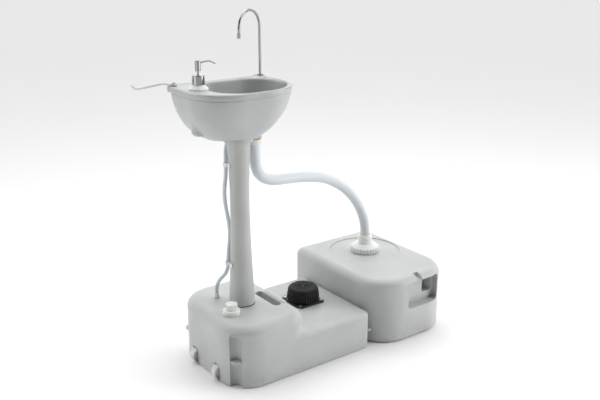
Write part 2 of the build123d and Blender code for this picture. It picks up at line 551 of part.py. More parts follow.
with BuildPart() as dip_strainer:
    post(inlet_x, PUMP_Y, 11.0, BASE_WALL + 1.0, strainer_top)
    post(inlet_x, PUMP_Y, 9.0, BASE_WALL + 1.0, strainer_top - 2.0, Mode.SUBTRACT)
    post(inlet_x, PUMP_Y, TUBE_BORE, strainer_top - 2.0, strainer_top, Mode.SUBTRACT)
    with Locations((inlet_x, PUMP_Y, BASE_WALL + 6.0)):
        with PolarLocations(10.0, 8):
            Box(4.0, 3.0, 8.0, mode=Mode.SUBTRACT)
finish(dip_strainer.part, "dip_strainer")

with BuildPart() as outlet_tube:
    outlet_path = [
        (outlet_x, PUMP_Y, cup_bottom), (outlet_x, PUMP_Y, 52.0), (outlet_x - 46.0, PUMP_Y + 12.0, 36.0),
        (85.0, 44.0, 38.0), (0.0, 60.0, 48.0), (-38.0, 71.0, 88.0),
        (SUPPLY_FITTING_X, SUPPLY_FITTING_Y, 134.0),
        (SUPPLY_FITTING_X, SUPPLY_FITTING_Y, HUMP_HEIGHT - SUPPLY_FITTING_BASE),
    ]
    with BuildLine():
        outlet_line = FilletPolyline(*outlet_path, radius=route_radii(outlet_path))
    with BuildSketch(Plane(outlet_line @ 0, z_dir=outlet_line % 0)):
        Circle(TUBE_RADIUS)
        Circle(TUBE_BORE, mode=Mode.SUBTRACT)
    sweep()
finish(outlet_tube.part, "outlet_tube")

# ---- Supply fitting, hose and clips --------------------------------------------------------------------
hose_seat = SUPPLY_ROUTE[0][2]
with BuildPart() as supply_fitting:
    fitting_bottom = HUMP_HEIGHT - SUPPLY_FITTING_BASE
    post(SUPPLY_FITTING_X, SUPPLY_FITTING_Y, TUBE_RADIUS, fitting_bottom, HUMP_HEIGHT)
    post(SUPPLY_FITTING_X, SUPPLY_FITTING_Y, 9.0, HUMP_HEIGHT, HUMP_HEIGHT + 5.0)
    with BuildSketch(Plane.XY.offset(HUMP_HEIGHT + 5.0)):
        with Locations((SUPPLY_FITTING_X, SUPPLY_FITTING_Y)):
            RegularPolygon(7.5, 6)
    extrude(amount=hose_seat - HUMP_HEIGHT - 5.0)
    post(SUPPLY_FITTING_X, SUPPLY_FITTING_Y, TUBE_BORE - 0.6, fitting_bottom, hose_seat, Mode.SUBTRACT)
finish(supply_fitting.part, "supply_fitting")

with BuildPart() as supply_hose:
    with BuildLine():
        supply_line = FilletPolyline(*SUPPLY_ROUTE, radius=route_radii(SUPPLY_ROUTE))
    with BuildSketch(Plane(supply_line @ 0, z_dir=supply_line % 0)):
        Circle(HOSE_RADIUS)
        Circle(HOSE_BORE, mode=Mode.SUBTRACT)
    sweep()
finish(supply_hose.part, "supply_hose")


def column_radius(height):
    """Outer radius of the column, straight between the heights of its profile."""
    for (z0, r0), (z1, r1) in zip(COLUMN_PROFILE, COLUMN_PROFILE[1:]):
        if z0 <= height <= z1:
            return r0 + (r1 - r0) * (height - z0) / (z1 - z0)
    return COLUMN_PROFILE[-1][1]


for name, (clip_x, clip_y, clip_z) in (("lower", CLIP_LOWER), ("upper", CLIP_UPPER)):
    reach = sqrt(clip_x ** 2 + clip_y ** 2)
    turn = Vector(1, 0, 0).get_signed_angle(Vector(clip_x, clip_y, 0), Vector(0, 0, 1))
    clip_plane = Plane.XY.offset(clip_z - CLIP_HEIGHT / 2).rotated((0, 0, turn))
    with BuildPart() as hose_clip:
        with BuildSketch(clip_plane):
            with Locations((reach, 0)):
                Circle(HOSE_RADIUS + CLIP_GAP + CLIP_WALL)
            Circle(column_radius(clip_z) + SEAT_GAP + CLIP_WALL)
            with Locations((-CLIP_FOOT, 0)):
                Rectangle(2 * (CLIP_FOOT + 24.0), 8 * CLIP_FOOT, mode=Mode.SUBTRACT)
            with Locations((reach, 0)):
                Circle(HOSE_RADIUS + CLIP_GAP, mode=Mode.SUBTRACT)
            Circle(column_radius(clip_z) + SEAT_GAP, mode=Mode.SUBTRACT)
        extrude(amount=CLIP_HEIGHT)
    finish(hose_clip.part, f"hose_clip_{name}")

# ---- Column --------------------------------------------------------------------------------------------
with BuildPart() as column_ring:
    post(0, 0, COLUMN_PROFILE[0][1] + 0.5, HUMP_HEIGHT, COLUMN_FOOT)
    post(0, 0, COLUMN_TENON_RADIUS + SEAT_GAP, HUMP_HEIGHT, COLUMN_FOOT, Mode.SUBTRACT)
finish(column_ring.part, "column_ring")

with BuildPart() as column:
    with BuildSketch(Plane.XZ):
        with BuildLine():
            skin = Spline(*[(radius, height) for height, radius in COLUMN_PROFILE])
            bore = Spline(*[(radius - COLUMN_WALL, height) for height, radius in reversed(COLUMN_PROFILE)])
            Line(skin @ 1, bore @ 0)
            Line(bore @ 1, skin @ 0)
        make_face()
    revolve(axis=Axis.Z)
    socket_floor = HUMP_HEIGHT - COLUMN_SOCKET_DEPTH
    foot_bore = COLUMN_PROFILE[0][1] - COLUMN_WALL
    post(0, 0, foot_bore + 0.5, COLUMN_FOOT, COLUMN_FOOT + 8.0)
    post(0, 0, COLUMN_TENON_RADIUS, socket_floor, COLUMN_FOOT)
    post(0, 0, COLUMN_TENON_RADIUS - COLUMN_TENON_WALL, socket_floor, COLUMN_FOOT + 8.0, Mode.SUBTRACT)
    head_bore = COLUMN_PROFILE[-1][1] - COLUMN_WALL
    post(0, 0, head_bore + 0.5, column_top - 6.0, column_top)
    post(0, 0, COLUMN_TOP_TENON_RADIUS, column_top, column_top + COLUMN_TOP_TENON)
    post(0, 0, COLUMN_TOP_TENON_RADIUS - COLUMN_TENON_WALL, column_top - 6.0, column_top + COLUMN_TOP_TENON,
         Mode.SUBTRACT)
finish(column.part, "column")


# ---- Basin ---------------------------------------------------------------------------------------------
def profile_share(drop, depth, fullness):
    """Share of the rim's plan left at a drop below the rim: a rounded curve that closes at the depth."""
    return (1 - (drop / depth) ** 1.8) ** (1 / fullness)


def basin_outline(share):
    """The rim's plan drawn in towards the column's axis by a share of its size."""
    outline_front_back(BASIN_LEFT * share, BASIN_RIGHT * share, BASIN_FRONT * share, BASIN_BACK * share,
                       BASIN_FRONT_CORNER * share, BASIN_BACK_CORNER * share)


def bowl_outline(share):
    """The opening's plan drawn in towards the drain by a share of its size."""
    left = DRAIN_X + (BOWL_LEFT - DRAIN_X) * share
    right = DRAIN_X + (BOWL_RIGHT - DRAIN_X) * share
    front = DRAIN_Y + (BOWL_FRONT - DRAIN_Y) * share
    back = DRAIN_Y + (BOWL_BACK - DRAIN_Y) * share
    outline(left, right, front, back, BOWL_LEFT_CORNER * share, BOWL_RIGHT_CORNER * share)


well_bottom = RIM_HEIGHT - SOAP_BOTTLE_DEPTH - SOAP_WELL_WALL
with BuildPart() as basin:
    for drop in BASIN_DROPS:
        with BuildSketch(Plane.XY.offset(RIM_HEIGHT - drop)):
            basin_outline(profile_share(drop, BASIN_DEPTH, 1.7))
    loft()
    post(0, 0, BASIN_NECK_RADIUS, BASIN_NECK_BOTTOM, RIM_HEIGHT - BASIN_DROPS[-2])
    post(DRAIN_X, DRAIN_Y, DRAIN_BOSS_RADIUS, DRAIN_BOSS_BOTTOM, DRAIN_SEAT_HEIGHT)
    post(SOAP_X, SOAP_Y, SOAP_BOTTLE_RADIUS + SEAT_GAP + SOAP_WELL_WALL, well_bottom, RIM_HEIGHT - RIM_ROUND)
    for lug_x, lug_y in ((TOWEL_X, TOWEL_Y), (FAUCET_X, FAUCET_Y)):
        post(lug_x, lug_y, RIM_LUG_RADIUS, RIM_HEIGHT - RIM_LUG_THICKNESS, RIM_HEIGHT)
    with BuildPart(mode=Mode.PRIVATE) as bowl:
        for drop in BOWL_DROPS:
            with BuildSketch(Plane.XY.offset(RIM_HEIGHT - drop)):
                bowl_outline(profile_share(drop, BOWL_DEPTH, 2.0))
        loft()
    add(bowl.part, mode=Mode.SUBTRACT)
    # the column's socket in the neck
    post(0, 0, COLUMN_TOP_TENON_RADIUS + SEAT_GAP, BASIN_NECK_BOTTOM, BASIN_NECK_BOTTOM + COLUMN_TOP_TENON + 1.0,
         Mode.SUBTRACT)
    # seat and bore of the drain
    post(DRAIN_X, DRAIN_Y, DRAIN_FLANGE_RADIUS + SEAT_GAP, DRAIN_SEAT_HEIGHT - DRAIN_FLANGE_THICKNESS,
         DRAIN_SEAT_HEIGHT + 12.0, Mode.SUBTRACT)
    post(DRAIN_X, DRAIN_Y, DRAIN_TUBE_RADIUS + SEAT_GAP, DRAIN_BOSS_BOTTOM, DRAIN_SEAT_HEIGHT, Mode.SUBTRACT)
    # the soap bottle's well, the faucet's hole and the towel arm's hole
    post(SOAP_X, SOAP_Y, SOAP_BOTTLE_RADIUS + SEAT_GAP, RIM_HEIGHT - SOAP_BOTTLE_DEPTH, RIM_HEIGHT, Mode.SUBTRACT)
    post(FAUCET_X, FAUCET_Y, FAUCET_SHANK_RADIUS + SEAT_GAP, RIM_HEIGHT - RIM_LUG_THICKNESS, RIM_HEIGHT,
         Mode.SUBTRACT)
    post(TOWEL_X, TOWEL_Y, TOWEL_SCREW_RADIUS, RIM_HEIGHT - RIM_LUG_THICKNESS, RIM_HEIGHT, Mode.SUBTRACT)
finish(basin.part, "basin")

# ---- Faucet --------------------------------------------------------------------------------------------
lug_bottom = RIM_HEIGHT - RIM_LUG_THICKNESS
tail_bottom = RIM_HEIGHT - FAUCET_SHANK_LENGTH
tube_stop = tail_bottom + 4.0
with BuildPart() as faucet_base:
    post(FAUCET_X, FAUCET_Y, FAUCET_FLANGE_RADIUS, RIM_HEIGHT, RIM_HEIGHT + FAUCET_FLANGE_HEIGHT)
    fillet(faucet_base.edges().group_by(Axis.Z)[-1], 1.5)
    post(FAUCET_X, FAUCET_Y, FAUCET_SHANK_RADIUS, tail_bottom, RIM_HEIGHT)
    post(FAUCET_X, FAUCET_Y, FAUCET_TUBE_RADIUS + RUNNING_FIT, tube_stop, RIM_HEIGHT + FAUCET_FLANGE_HEIGHT,
         Mode.SUBTRACT)
    post(FAUCET_X, FAUCET_Y, FAUCET_TUBE_BORE - 0.5, tail_bottom, tube_stop, Mode.SUBTRACT)
finish(faucet_base.part, "faucet_base")

with BuildPart() as faucet_washer:
    post(FAUCET_X, FAUCET_Y, FAUCET_NUT_RADIUS, lug_bottom - FAUCET_WASHER_THICKNESS, lug_bottom)
    post(FAUCET_X, FAUCET_Y, FAUCET_SHANK_RADIUS + SEAT_GAP, lug_bottom - FAUCET_WASHER_THICKNESS, lug_bottom,
         Mode.SUBTRACT)
finish(faucet_washer.part, "faucet_washer")

with BuildPart() as faucet_nut:
    with BuildSketch(Plane.XY.offset(lug_bottom - FAUCET_WASHER_THICKNESS - FAUCET_NUT_HEIGHT)):
        with Locations((FAUCET_X, FAUCET_Y)):
            RegularPolygon(FAUCET_NUT_RADIUS, 6)
            Circle(FAUCET_SHANK_RADIUS + SEAT_GAP, mode=Mode.SUBTRACT)
    extrude(amount=FAUCET_NUT_HEIGHT)
finish(faucet_nut.part, "faucet_nut")

bend_start = FAUCET_HEIGHT - FAUCET_TUBE_RADIUS - FAUCET_BEND
spout_plane = Plane((FAUCET_X, FAUCET_Y, 0), x_dir=(cos(radians(FAUCET_ANGLE)), sin(radians(FAUCET_ANGLE)), 0),
                    z_dir=(sin(radians(FAUCET_ANGLE)), -cos(radians(FAUCET_ANGLE)), 0))
with BuildPart() as faucet_spout:
    with BuildLine(spout_plane):
        riser = Line((0, tube_stop), (0, bend_start))
        crook = CenterArc((FAUCET_BEND, bend_start), FAUCET_BEND, 180, -180)
        Line((2 * FAUCET_BEND, bend_start), (2 * FAUCET_BEND, bend_start - FAUCET_DROP))
    with BuildSketch(Plane((FAUCET_X, FAUCET_Y, tube_stop))):
        Circle(FAUCET_TUBE_RADIUS)
        Circle(FAUCET_TUBE_BORE, mode=Mode.SUBTRACT)
    sweep()
finish(faucet_spout.part, "faucet_spout")

nozzle_x = FAUCET_X + 2 * FAUCET_BEND * cos(radians(FAUCET_ANGLE))
nozzle_y = FAUCET_Y + 2 * FAUCET_BEND * sin(radians(FAUCET_ANGLE))
spout_end = bend_start - FAUCET_DROP
with BuildPart() as faucet_nozzle:
    nozzle_bottom = spout_end + 5.0 - NOZZLE_HEIGHT
    post(nozzle_x, nozzle_y, NOZZLE_RADIUS, nozzle_bottom, spout_end + 5.0)
    fillet(faucet_nozzle.edges().group_by(Axis.Z)[-1], 1.0)
    post(nozzle_x, nozzle_y, FAUCET_TUBE_RADIUS, spout_end, spout_end + 5.0, Mode.SUBTRACT)
    post(nozzle_x, nozzle_y, FAUCET_TUBE_BORE, nozzle_bottom, spout_end, Mode.SUBTRACT)
finish(faucet_nozzle.part, "faucet_nozzle")

# ---- Soap bottle and pump ------------------------------------------------------------------------------
soap_axis = Axis((SOAP_X, SOAP_Y, 0), (0, 0, 1))
shoulder_bottom = RIM_HEIGHT + SOAP_FLANGE_HEIGHT
neck_bottom = shoulder_bottom + SOAP_SHOULDER_HEIGHT
neck_top = neck_bottom + SOAP_NECK_HEIGHT
bottle_bottom = RIM_HEIGHT - SOAP_BOTTLE_DEPTH + 1.0
bottle_bore = SOAP_BOTTLE_RADIUS - SOAP_BOTTLE_WALL
with BuildPart() as soap_bottle:
    post(SOAP_X, SOAP_Y, SOAP_BOTTLE_RADIUS, bottle_bottom, RIM_HEIGHT)
    post(SOAP_X, SOAP_Y, SOAP_FLANGE_RADIUS, RIM_HEIGHT, shoulder_bottom)
    with Locations((SOAP_X, SOAP_Y, shoulder_bottom)):
        Cone(SOAP_FLANGE_RADIUS - 1.0, SOAP_NECK_RADIUS + 3.0, SOAP_SHOULDER_HEIGHT,
             align=(Align.CENTER, Align.CENTER, Align.MIN))
    post(SOAP_X, SOAP_Y, SOAP_NECK_RADIUS, neck_bottom, neck_top)
    post(SOAP_X, SOAP_Y, bottle_bore, bottle_bottom + SOAP_BOTTLE_WALL, RIM_HEIGHT, Mode.SUBTRACT)
    with Locations((SOAP_X, SOAP_Y, RIM_HEIGHT)):
        Cone(bottle_bore, SOAP_NECK_RADIUS - 2.0, neck_bottom - RIM_HEIGHT,
             align=(Align.CENTER, Align.CENTER, Align.MIN), mode=Mode.SUBTRACT)
    post(SOAP_X, SOAP_Y, SOAP_NECK_RADIUS - 2.0, neck_bottom, neck_top, Mode.SUBTRACT)
finish(soap_bottle.part, "soap_bottle")

soap_seal_top = neck_top + SOAP_SEAL_THICKNESS
with BuildPart() as soap_seal:
    post(SOAP_X, SOAP_Y, SOAP_NECK_RADIUS, neck_top, soap_seal_top)
    post(SOAP_X, SOAP_Y, SOAP_NECK_RADIUS - 3.0, neck_top, soap_seal_top, Mode.SUBTRACT)
finish(soap_seal.part, "soap_seal")

collar_top = neck_bottom + SOAP_COLLAR_HEIGHT
cylinder_radius = SOAP_NECK_RADIUS - 3.0 - SEAT_GAP
cylinder_bottom = neck_top - 48.0
with BuildPart() as soap_collar:
    post(SOAP_X, SOAP_Y, SOAP_COLLAR_RADIUS, neck_bottom, collar_top)
    fillet(soap_collar.edges().group_by(Axis.Z)[-1], 3.0)
    post(SOAP_X, SOAP_Y, SOAP_NECK_RADIUS + SEAT_GAP, neck_bottom, soap_seal_top + 1.5, Mode.SUBTRACT)
    post(SOAP_X, SOAP_Y, SOAP_STEM_RADIUS + RUNNING_FIT, soap_seal_top, collar_top, Mode.SUBTRACT)
finish(soap_collar.part, "soap_collar")

with BuildPart() as soap_cylinder:
    post(SOAP_X, SOAP_Y, SOAP_NECK_RADIUS, soap_seal_top, soap_seal_top + 1.5)
    post(SOAP_X, SOAP_Y, cylinder_radius, cylinder_bottom, soap_seal_top)
    post(SOAP_X, SOAP_Y, cylinder_radius - 1.5, cylinder_bottom + 2.0, soap_seal_top + 1.5, Mode.SUBTRACT)
    post(SOAP_X, SOAP_Y, 2.0, cylinder_bottom, cylinder_bottom + 2.0, Mode.SUBTRACT)
finish(soap_cylinder.part, "soap_cylinder")

head_bottom = collar_top + SOAP_HEAD_GAP
stem_bottom = soap_seal_top - 12.0
piston_radius = cylinder_radius - 1.5 - RUNNING_FIT
with BuildPart() as soap_stem:
    post(SOAP_X, SOAP_Y, SOAP_STEM_RADIUS, stem_bottom, head_bottom + 12.0)
    post(SOAP_X, SOAP_Y, piston_radius, stem_bottom, stem_bottom + 4.0)
    post(SOAP_X, SOAP_Y, 1.5, stem_bottom, head_bottom + 12.0, Mode.SUBTRACT)
finish(soap_stem.part, "soap_stem")

with BuildPart() as soap_spring:
    soap_spring_start = cylinder_bottom + 3.2
    soap_spring_length = stem_bottom - soap_spring_start - 1.0
    with BuildLine():
        soap_coil = Helix(pitch=soap_spring_length / 7, height=soap_spring_length, radius=piston_radius - 1.5,
                          center=(SOAP_X, SOAP_Y, soap_spring_start))
    with BuildSketch(Plane(soap_coil @ 0, z_dir=soap_coil % 0)):
        Circle(0.5)
    sweep(is_frenet=True)
finish(soap_spring.part, "soap_spring")

spout_z = head_bottom + SOAP_HEAD_HEIGHT - 7.0
with BuildPart() as soap_head:
    post(SOAP_X, SOAP_Y, SOAP_HEAD_RADIUS, head_bottom, head_bottom + SOAP_HEAD_HEIGHT)
    fillet(soap_head.edges().group_by(Axis.Z)[-1], 2.0)
    post(SOAP_X, SOAP_Y, SOAP_STEM_RADIUS + RUNNING_FIT, head_bottom, head_bottom + 12.0, Mode.SUBTRACT)
    spout_route = [
        (SOAP_X + SOAP_HEAD_RADIUS - 2.0, SOAP_Y, spout_z), (SOAP_X + 24.0, SOAP_Y, spout_z + 3.5),
        (SOAP_X + SOAP_SPOUT_REACH - 14.0, SOAP_Y, spout_z + 2.5), (SOAP_X + SOAP_SPOUT_REACH, SOAP_Y, spout_z - 5.0),
    ]
    with BuildLine():
        spout_line = FilletPolyline(*spout_route, radius=route_radii(spout_route))
    with BuildSketch(Plane(spout_line @ 0, z_dir=spout_line % 0)):
        Circle(SOAP_SPOUT_RADIUS)
    sweep()
finish(soap_head.part, "soap_head")

with BuildPart() as soap_dip_tube:
    post(SOAP_X, SOAP_Y, 3.0, bottle_bottom + SOAP_BOTTLE_WALL + 6.0, cylinder_bottom)
    post(SOAP_X, SOAP_Y, 2.0, bottle_bottom + SOAP_BOTTLE_WALL + 6.0, cylinder_bottom, Mode.SUBTRACT)
finish(soap_dip_tube.part, "soap_dip_tube")

# ---- Towel arm -----------------------------------------------------------------------------------------
eye_bottom = RIM_HEIGHT + TOWEL_WASHER_THICKNESS
with BuildPart() as towel_washer:
    post(TOWEL_X, TOWEL_Y, TOWEL_EYE_RADIUS - 1.0, RIM_HEIGHT, eye_bottom)
    post(TOWEL_X, TOWEL_Y, TOWEL_SCREW_RADIUS, RIM_HEIGHT, eye_bottom, Mode.SUBTRACT)
finish(towel_washer.part, "towel_washer")

eye_top = eye_bottom + TOWEL_EYE_HEIGHT
with BuildPart() as towel_arm:
    post(TOWEL_X, TOWEL_Y, TOWEL_EYE_RADIUS, eye_bottom, eye_top)
    bar_z = eye_bottom + TOWEL_BAR_RADIUS
    bar_route = [
        (TOWEL_X - 4.0, TOWEL_Y, bar_z), (TOWEL_X - 14.0, TOWEL_Y - 1.0, bar_z + 0.2),
        (TOWEL_X - 31.0, TOWEL_Y - 2.0, bar_z + 6.0), (TOWEL_X - 55.0, TOWEL_Y - 3.0, bar_z + 4.0),
        (TOWEL_X - 85.0, TOWEL_Y - 4.0, bar_z + 1.0), (TOWEL_X - 108.0, TOWEL_Y - 5.0, bar_z - 0.5),
        (TOWEL_X - 118.0, TOWEL_Y - 6.0, bar_z + 1.5), (TOWEL_X - 124.0, TOWEL_Y - 7.0, bar_z + 9.0),
    ]
    with BuildLine():
        bar_line = FilletPolyline(*bar_route, radius=route_radii(bar_route))
    with BuildSketch(Plane(bar_line @ 0, z_dir=bar_line % 0)):
        Circle(TOWEL_BAR_RADIUS)
    sweep()
    with Locations(bar_line @ 1):
        Sphere(TOWEL_BAR_RADIUS)
    post(TOWEL_X, TOWEL_Y, TOWEL_SCREW_RADIUS + RUNNING_FIT, eye_bottom, eye_top + 8.0, Mode.SUBTRACT)
finish(towel_arm.part, "towel_arm")

with BuildPart() as towel_screw:
    post(TOWEL_X, TOWEL_Y, TOWEL_SCREW_RADIUS, RIM_HEIGHT - RIM_LUG_THICKNESS, eye_top)
    post(TOWEL_X, TOWEL_Y, TOWEL_SCREW_HEAD_RADIUS, eye_top, eye_top + 4.0)
    fillet(towel_screw.edges().group_by(Axis.Z)[-1], 1.5)
finish(towel_screw.part, "towel_screw")

# ---- Drain ---------------------------------------------------------------------------------------------
flange_bottom = DRAIN_SEAT_HEIGHT - DRAIN_FLANGE_THICKNESS
barb_bottom = HOSE_TOP_HEIGHT - DRAIN_BARB_LENGTH
with BuildPart() as drain_spigot:
    post(DRAIN_X, DRAIN_Y, DRAIN_FLANGE_RADIUS, flange_bottom, DRAIN_SEAT_HEIGHT)
    post(DRAIN_X, DRAIN_Y, DRAIN_TUBE_RADIUS, barb_bottom, flange_bottom)
    post(DRAIN_X, DRAIN_Y, DRAIN_TUBE_BORE + 4.0, DRAIN_SEAT_HEIGHT - 1.6, DRAIN_SEAT_HEIGHT, Mode.SUBTRACT)
    post(DRAIN_X, DRAIN_Y, DRAIN_TUBE_BORE, barb_bottom, DRAIN_SEAT_HEIGHT, Mode.SUBTRACT)
finish(drain_spigot.part, "drain_spigot")

with BuildPart() as drain_strainer:
    post(DRAIN_X, DRAIN_Y, DRAIN_TUBE_BORE + 3.8, DRAIN_SEAT_HEIGHT - 1.6, DRAIN_SEAT_HEIGHT - 0.4)
    with Locations((DRAIN_X, DRAIN_Y, DRAIN_SEAT_HEIGHT - 1.0)):
        with PolarLocations(6.8, 8):
            Cylinder(1.7, 4.0, mode=Mode.SUBTRACT)
        with PolarLocations(2.9, 4):
            Cylinder(1.3, 4.0, mode=Mode.SUBTRACT)
finish(drain_strainer.part, "drain_strainer")

with BuildPart() as drain_seal:
    seal_base = DRAIN_BOSS_BOTTOM - DRAIN_SEAL_THICKNESS
    post(DRAIN_X, DRAIN_Y, DRAIN_NUT_RADIUS, seal_base, DRAIN_BOSS_BOTTOM)
    post(DRAIN_X, DRAIN_Y, DRAIN_TUBE_RADIUS + SEAT_GAP, seal_base, DRAIN_BOSS_BOTTOM, Mode.SUBTRACT)
finish(drain_seal.part, "drain_seal")

with BuildPart() as drain_nut:
    post(DRAIN_X, DRAIN_Y, DRAIN_NUT_RADIUS, HOSE_TOP_HEIGHT, seal_base)
    fillet(drain_nut.edges().group_by(Axis.Z)[0], 1.5)
    with Locations((DRAIN_X, DRAIN_Y, HOSE_TOP_HEIGHT)):
        with PolarLocations(DRAIN_NUT_RADIUS + 0.9, 16):
            Cylinder(1.8, 3 * DRAIN_NUT_HEIGHT, mode=Mode.SUBTRACT)
    post(DRAIN_X, DRAIN_Y, DRAIN_TUBE_RADIUS + SEAT_GAP, HOSE_TOP_HEIGHT, seal_base, Mode.SUBTRACT)
finish(drain_nut.part, "drain_nut")

with BuildPart() as drain_hose:
    with BuildLine():
        drain_line = FilletPolyline(*DRAIN_ROUTE, radius=route_radii(DRAIN_ROUTE))
    with BuildSketch(Plane(drain_line @ 0, z_dir=drain_line % 0)):
        Circle(DRAIN_HOSE_RADIUS)
        Circle(DRAIN_HOSE_BORE, mode=Mode.SUBTRACT)
    sweep()
finish(drain_hose.part, "drain_hose")

# ---- Waste tank ----------------------------------------------------------------------------------------
neck_floor = TANK_HEIGHT - TANK_RECESS_DEPTH
tank_neck_top = neck_floor + NECK_HEIGHT
with BuildPart() as tank_cavity:
    with BuildSketch(Plane.XY.offset(TANK_WALL)):
        outline_front_back(TANK_LEFT + TANK_WALL, TANK_RIGHT - TANK_WALL, TANK_FRONT + TANK_WALL,
                           TANK_BACK - TANK_WALL, TANK_FRONT_CORNER - TANK_WALL, TANK_BACK_CORNER - TANK_WALL)
    extrude(amount=neck_floor - 2 * TANK_WALL)
    fillet(tank_cavity.faces().sort_by(Axis.Z)[-1].edges(), TANK_TOP_ROUND - TANK_WALL)
    block(PULL_LEFT - TANK_WALL, PULL_RIGHT + TANK_WALL, TANK_FRONT, TANK_FRONT + PULL_DEPTH + TANK_WALL,
          PULL_BOTTOM - TANK_WALL, TANK_HEIGHT, Mode.SUBTRACT)
    block(PULL_POCKET_LEFT - TANK_WALL, PULL_POCKET_RIGHT + TANK_WALL, TANK_FRONT,
          TANK_FRONT + PULL_POCKET_DEPTH + TANK_WALL, PULL_POCKET_BOTTOM - TANK_WALL, TANK_HEIGHT, Mode.SUBTRACT)

with BuildPart() as waste_tank:
    with BuildSketch():
        outline_front_back(TANK_LEFT, TANK_RIGHT, TANK_FRONT, TANK_BACK, TANK_FRONT_CORNER, TANK_BACK_CORNER)
    extrude(amount=TANK_HEIGHT)
    fillet(waste_tank.faces().sort_by(Axis.Z)[-1].edges(), TANK_TOP_ROUND)
    fillet(waste_tank.faces().sort_by(Axis.Z)[0].edges(), TANK_BOTTOM_ROUND)
    post(NECK_X, NECK_Y, TANK_RECESS_RADIUS, neck_floor, TANK_HEIGHT, Mode.SUBTRACT)
    post(NECK_X, NECK_Y, NECK_RADIUS, neck_floor, tank_neck_top)
    add(tank_cavity.part, mode=Mode.SUBTRACT)
    post(NECK_X, NECK_Y, NECK_RADIUS - 4.0, neck_floor - 2 * TANK_WALL, tank_neck_top, Mode.SUBTRACT)
    with BuildSketch(Plane.XZ.offset(-TANK_FRONT)):
        with Locations(((PULL_LEFT + PULL_RIGHT) / 2, (PULL_BOTTOM + PULL_TOP) / 2)):
            RectangleRounded(PULL_RIGHT - PULL_LEFT, PULL_TOP - PULL_BOTTOM, 14.0)
    extrude(amount=-PULL_DEPTH, mode=Mode.SUBTRACT)
    with BuildSketch(Plane.XZ.offset(-TANK_FRONT)):
        with Locations(((PULL_POCKET_LEFT + PULL_POCKET_RIGHT) / 2, (PULL_POCKET_BOTTOM + PULL_TOP) / 2)):
            RectangleRounded(PULL_POCKET_RIGHT - PULL_POCKET_LEFT, PULL_TOP - PULL_POCKET_BOTTOM, 10.0)
    extrude(amount=-PULL_POCKET_DEPTH, mode=Mode.SUBTRACT)
    block(PULL_SLOT_X - PULL_SLOT_WIDTH / 2, PULL_SLOT_X + PULL_SLOT_WIDTH / 2,
          TANK_FRONT - 1, TANK_FRONT + PULL_SLOT_LENGTH - 6.0, PULL_TOP - 10.0, TANK_HEIGHT + 1, Mode.SUBTRACT)
finish(waste_tank.part, "waste_tank")

sleeve_flange_bottom = tank_neck_top + GASKET_THICKNESS
sleeve_flange_top = sleeve_flange_bottom + SLEEVE_FLANGE_THICKNESS
with BuildPart() as waste_gasket:
    post(NECK_X, NECK_Y, NECK_RADIUS, tank_neck_top, sleeve_flange_bottom)
    post(NECK_X, NECK_Y, NECK_RADIUS - 4.0, tank_neck_top, sleeve_flange_bottom, Mode.SUBTRACT)
finish(waste_gasket.part, "waste_gasket")

with BuildPart() as waste_sleeve:
    post(NECK_X, NECK_Y, SLEEVE_FLANGE_RADIUS, sleeve_flange_bottom, sleeve_flange_top)
    post(NECK_X, NECK_Y, SLEEVE_RADIUS, sleeve_flange_top, SLEEVE_TOP)
    post(NECK_X, NECK_Y, DRAIN_HOSE_RADIUS + SEAT_GAP, HOSE_END_HEIGHT, SLEEVE_TOP, Mode.SUBTRACT)
    post(NECK_X, NECK_Y, DRAIN_HOSE_BORE, sleeve_flange_bottom, HOSE_END_HEIGHT, Mode.SUBTRACT)
finish(waste_sleeve.part, "waste_sleeve")

with BuildPart() as hose_ferrule:
    post(NECK_X, NECK_Y, FERRULE_RADIUS, SLEEVE_TOP, SLEEVE_TOP + FERRULE_HEIGHT)
    post(NECK_X, NECK_Y, DRAIN_HOSE_RADIUS + 1.2, SLEEVE_TOP, SLEEVE_TOP + FERRULE_HEIGHT, Mode.SUBTRACT)
finish(hose_ferrule.part, "hose_ferrule")

ring_bottom = neck_floor + 1.0
ring_top = ring_bottom + RING_HEIGHT
with BuildPart() as waste_ring:
    post(NECK_X, NECK_Y, RING_RADIUS, ring_bottom, ring_top)
    chamfer(waste_ring.edges().group_by(Axis.Z)[-1], 10.0, 14.0)
    with Locations((NECK_X, NECK_Y, ring_bottom)):
        with PolarLocations(RING_RADIUS + 0.8, RING_FLUTES):
            Cylinder(2.2, 2 * (RING_HEIGHT - 8.0), mode=Mode.SUBTRACT)
    post(NECK_X, NECK_Y, NECK_RADIUS + SEAT_GAP, ring_bottom, sleeve_flange_top, Mode.SUBTRACT)
    post(NECK_X, NECK_Y, SLEEVE_RADIUS + SEAT_GAP, ring_bottom, ring_top, Mode.SUBTRACT)
finish(waste_ring.part, "waste_ring")


def report_hose(name, line, route, radius, bore, part):
    """Print a hose's length, its bend radii and how its volume compares with section times length."""
    section = pi * (radius ** 2 - bore ** 2)
    share = part.volume / (section * line.length)
    radii = ", ".join(f"{r:.0f}" for r in route_radii(route))
    print(f"{name}: length {line.length:.1f}, volume over section times length {share:.4f}, radii {radii}")


report_hose("drain_hose", drain_line, DRAIN_ROUTE, DRAIN_HOSE_RADIUS, DRAIN_HOSE_BORE, drain_hose.part)
report_hose("supply_hose", supply_line, SUPPLY_ROUTE, HOSE_RADIUS, HOSE_BORE, supply_hose.part)
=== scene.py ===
# %% [markdown]
# # A portable handwash sink
# The sink stands on a wheeled tank of fresh water. A foot pump on the tank's low deck sends water up a
# clear hose to a gooseneck faucet, and the basin drains through a wide milky hose into a second tank. The
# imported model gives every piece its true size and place. This lesson keeps the pieces whose shape is
# already right, gives them real finishes, and makes the moulded shells again as smooth surfaces.

# %% Load the frame
import bpy
import json
import numpy as np
from mathutils import Matrix, Vector


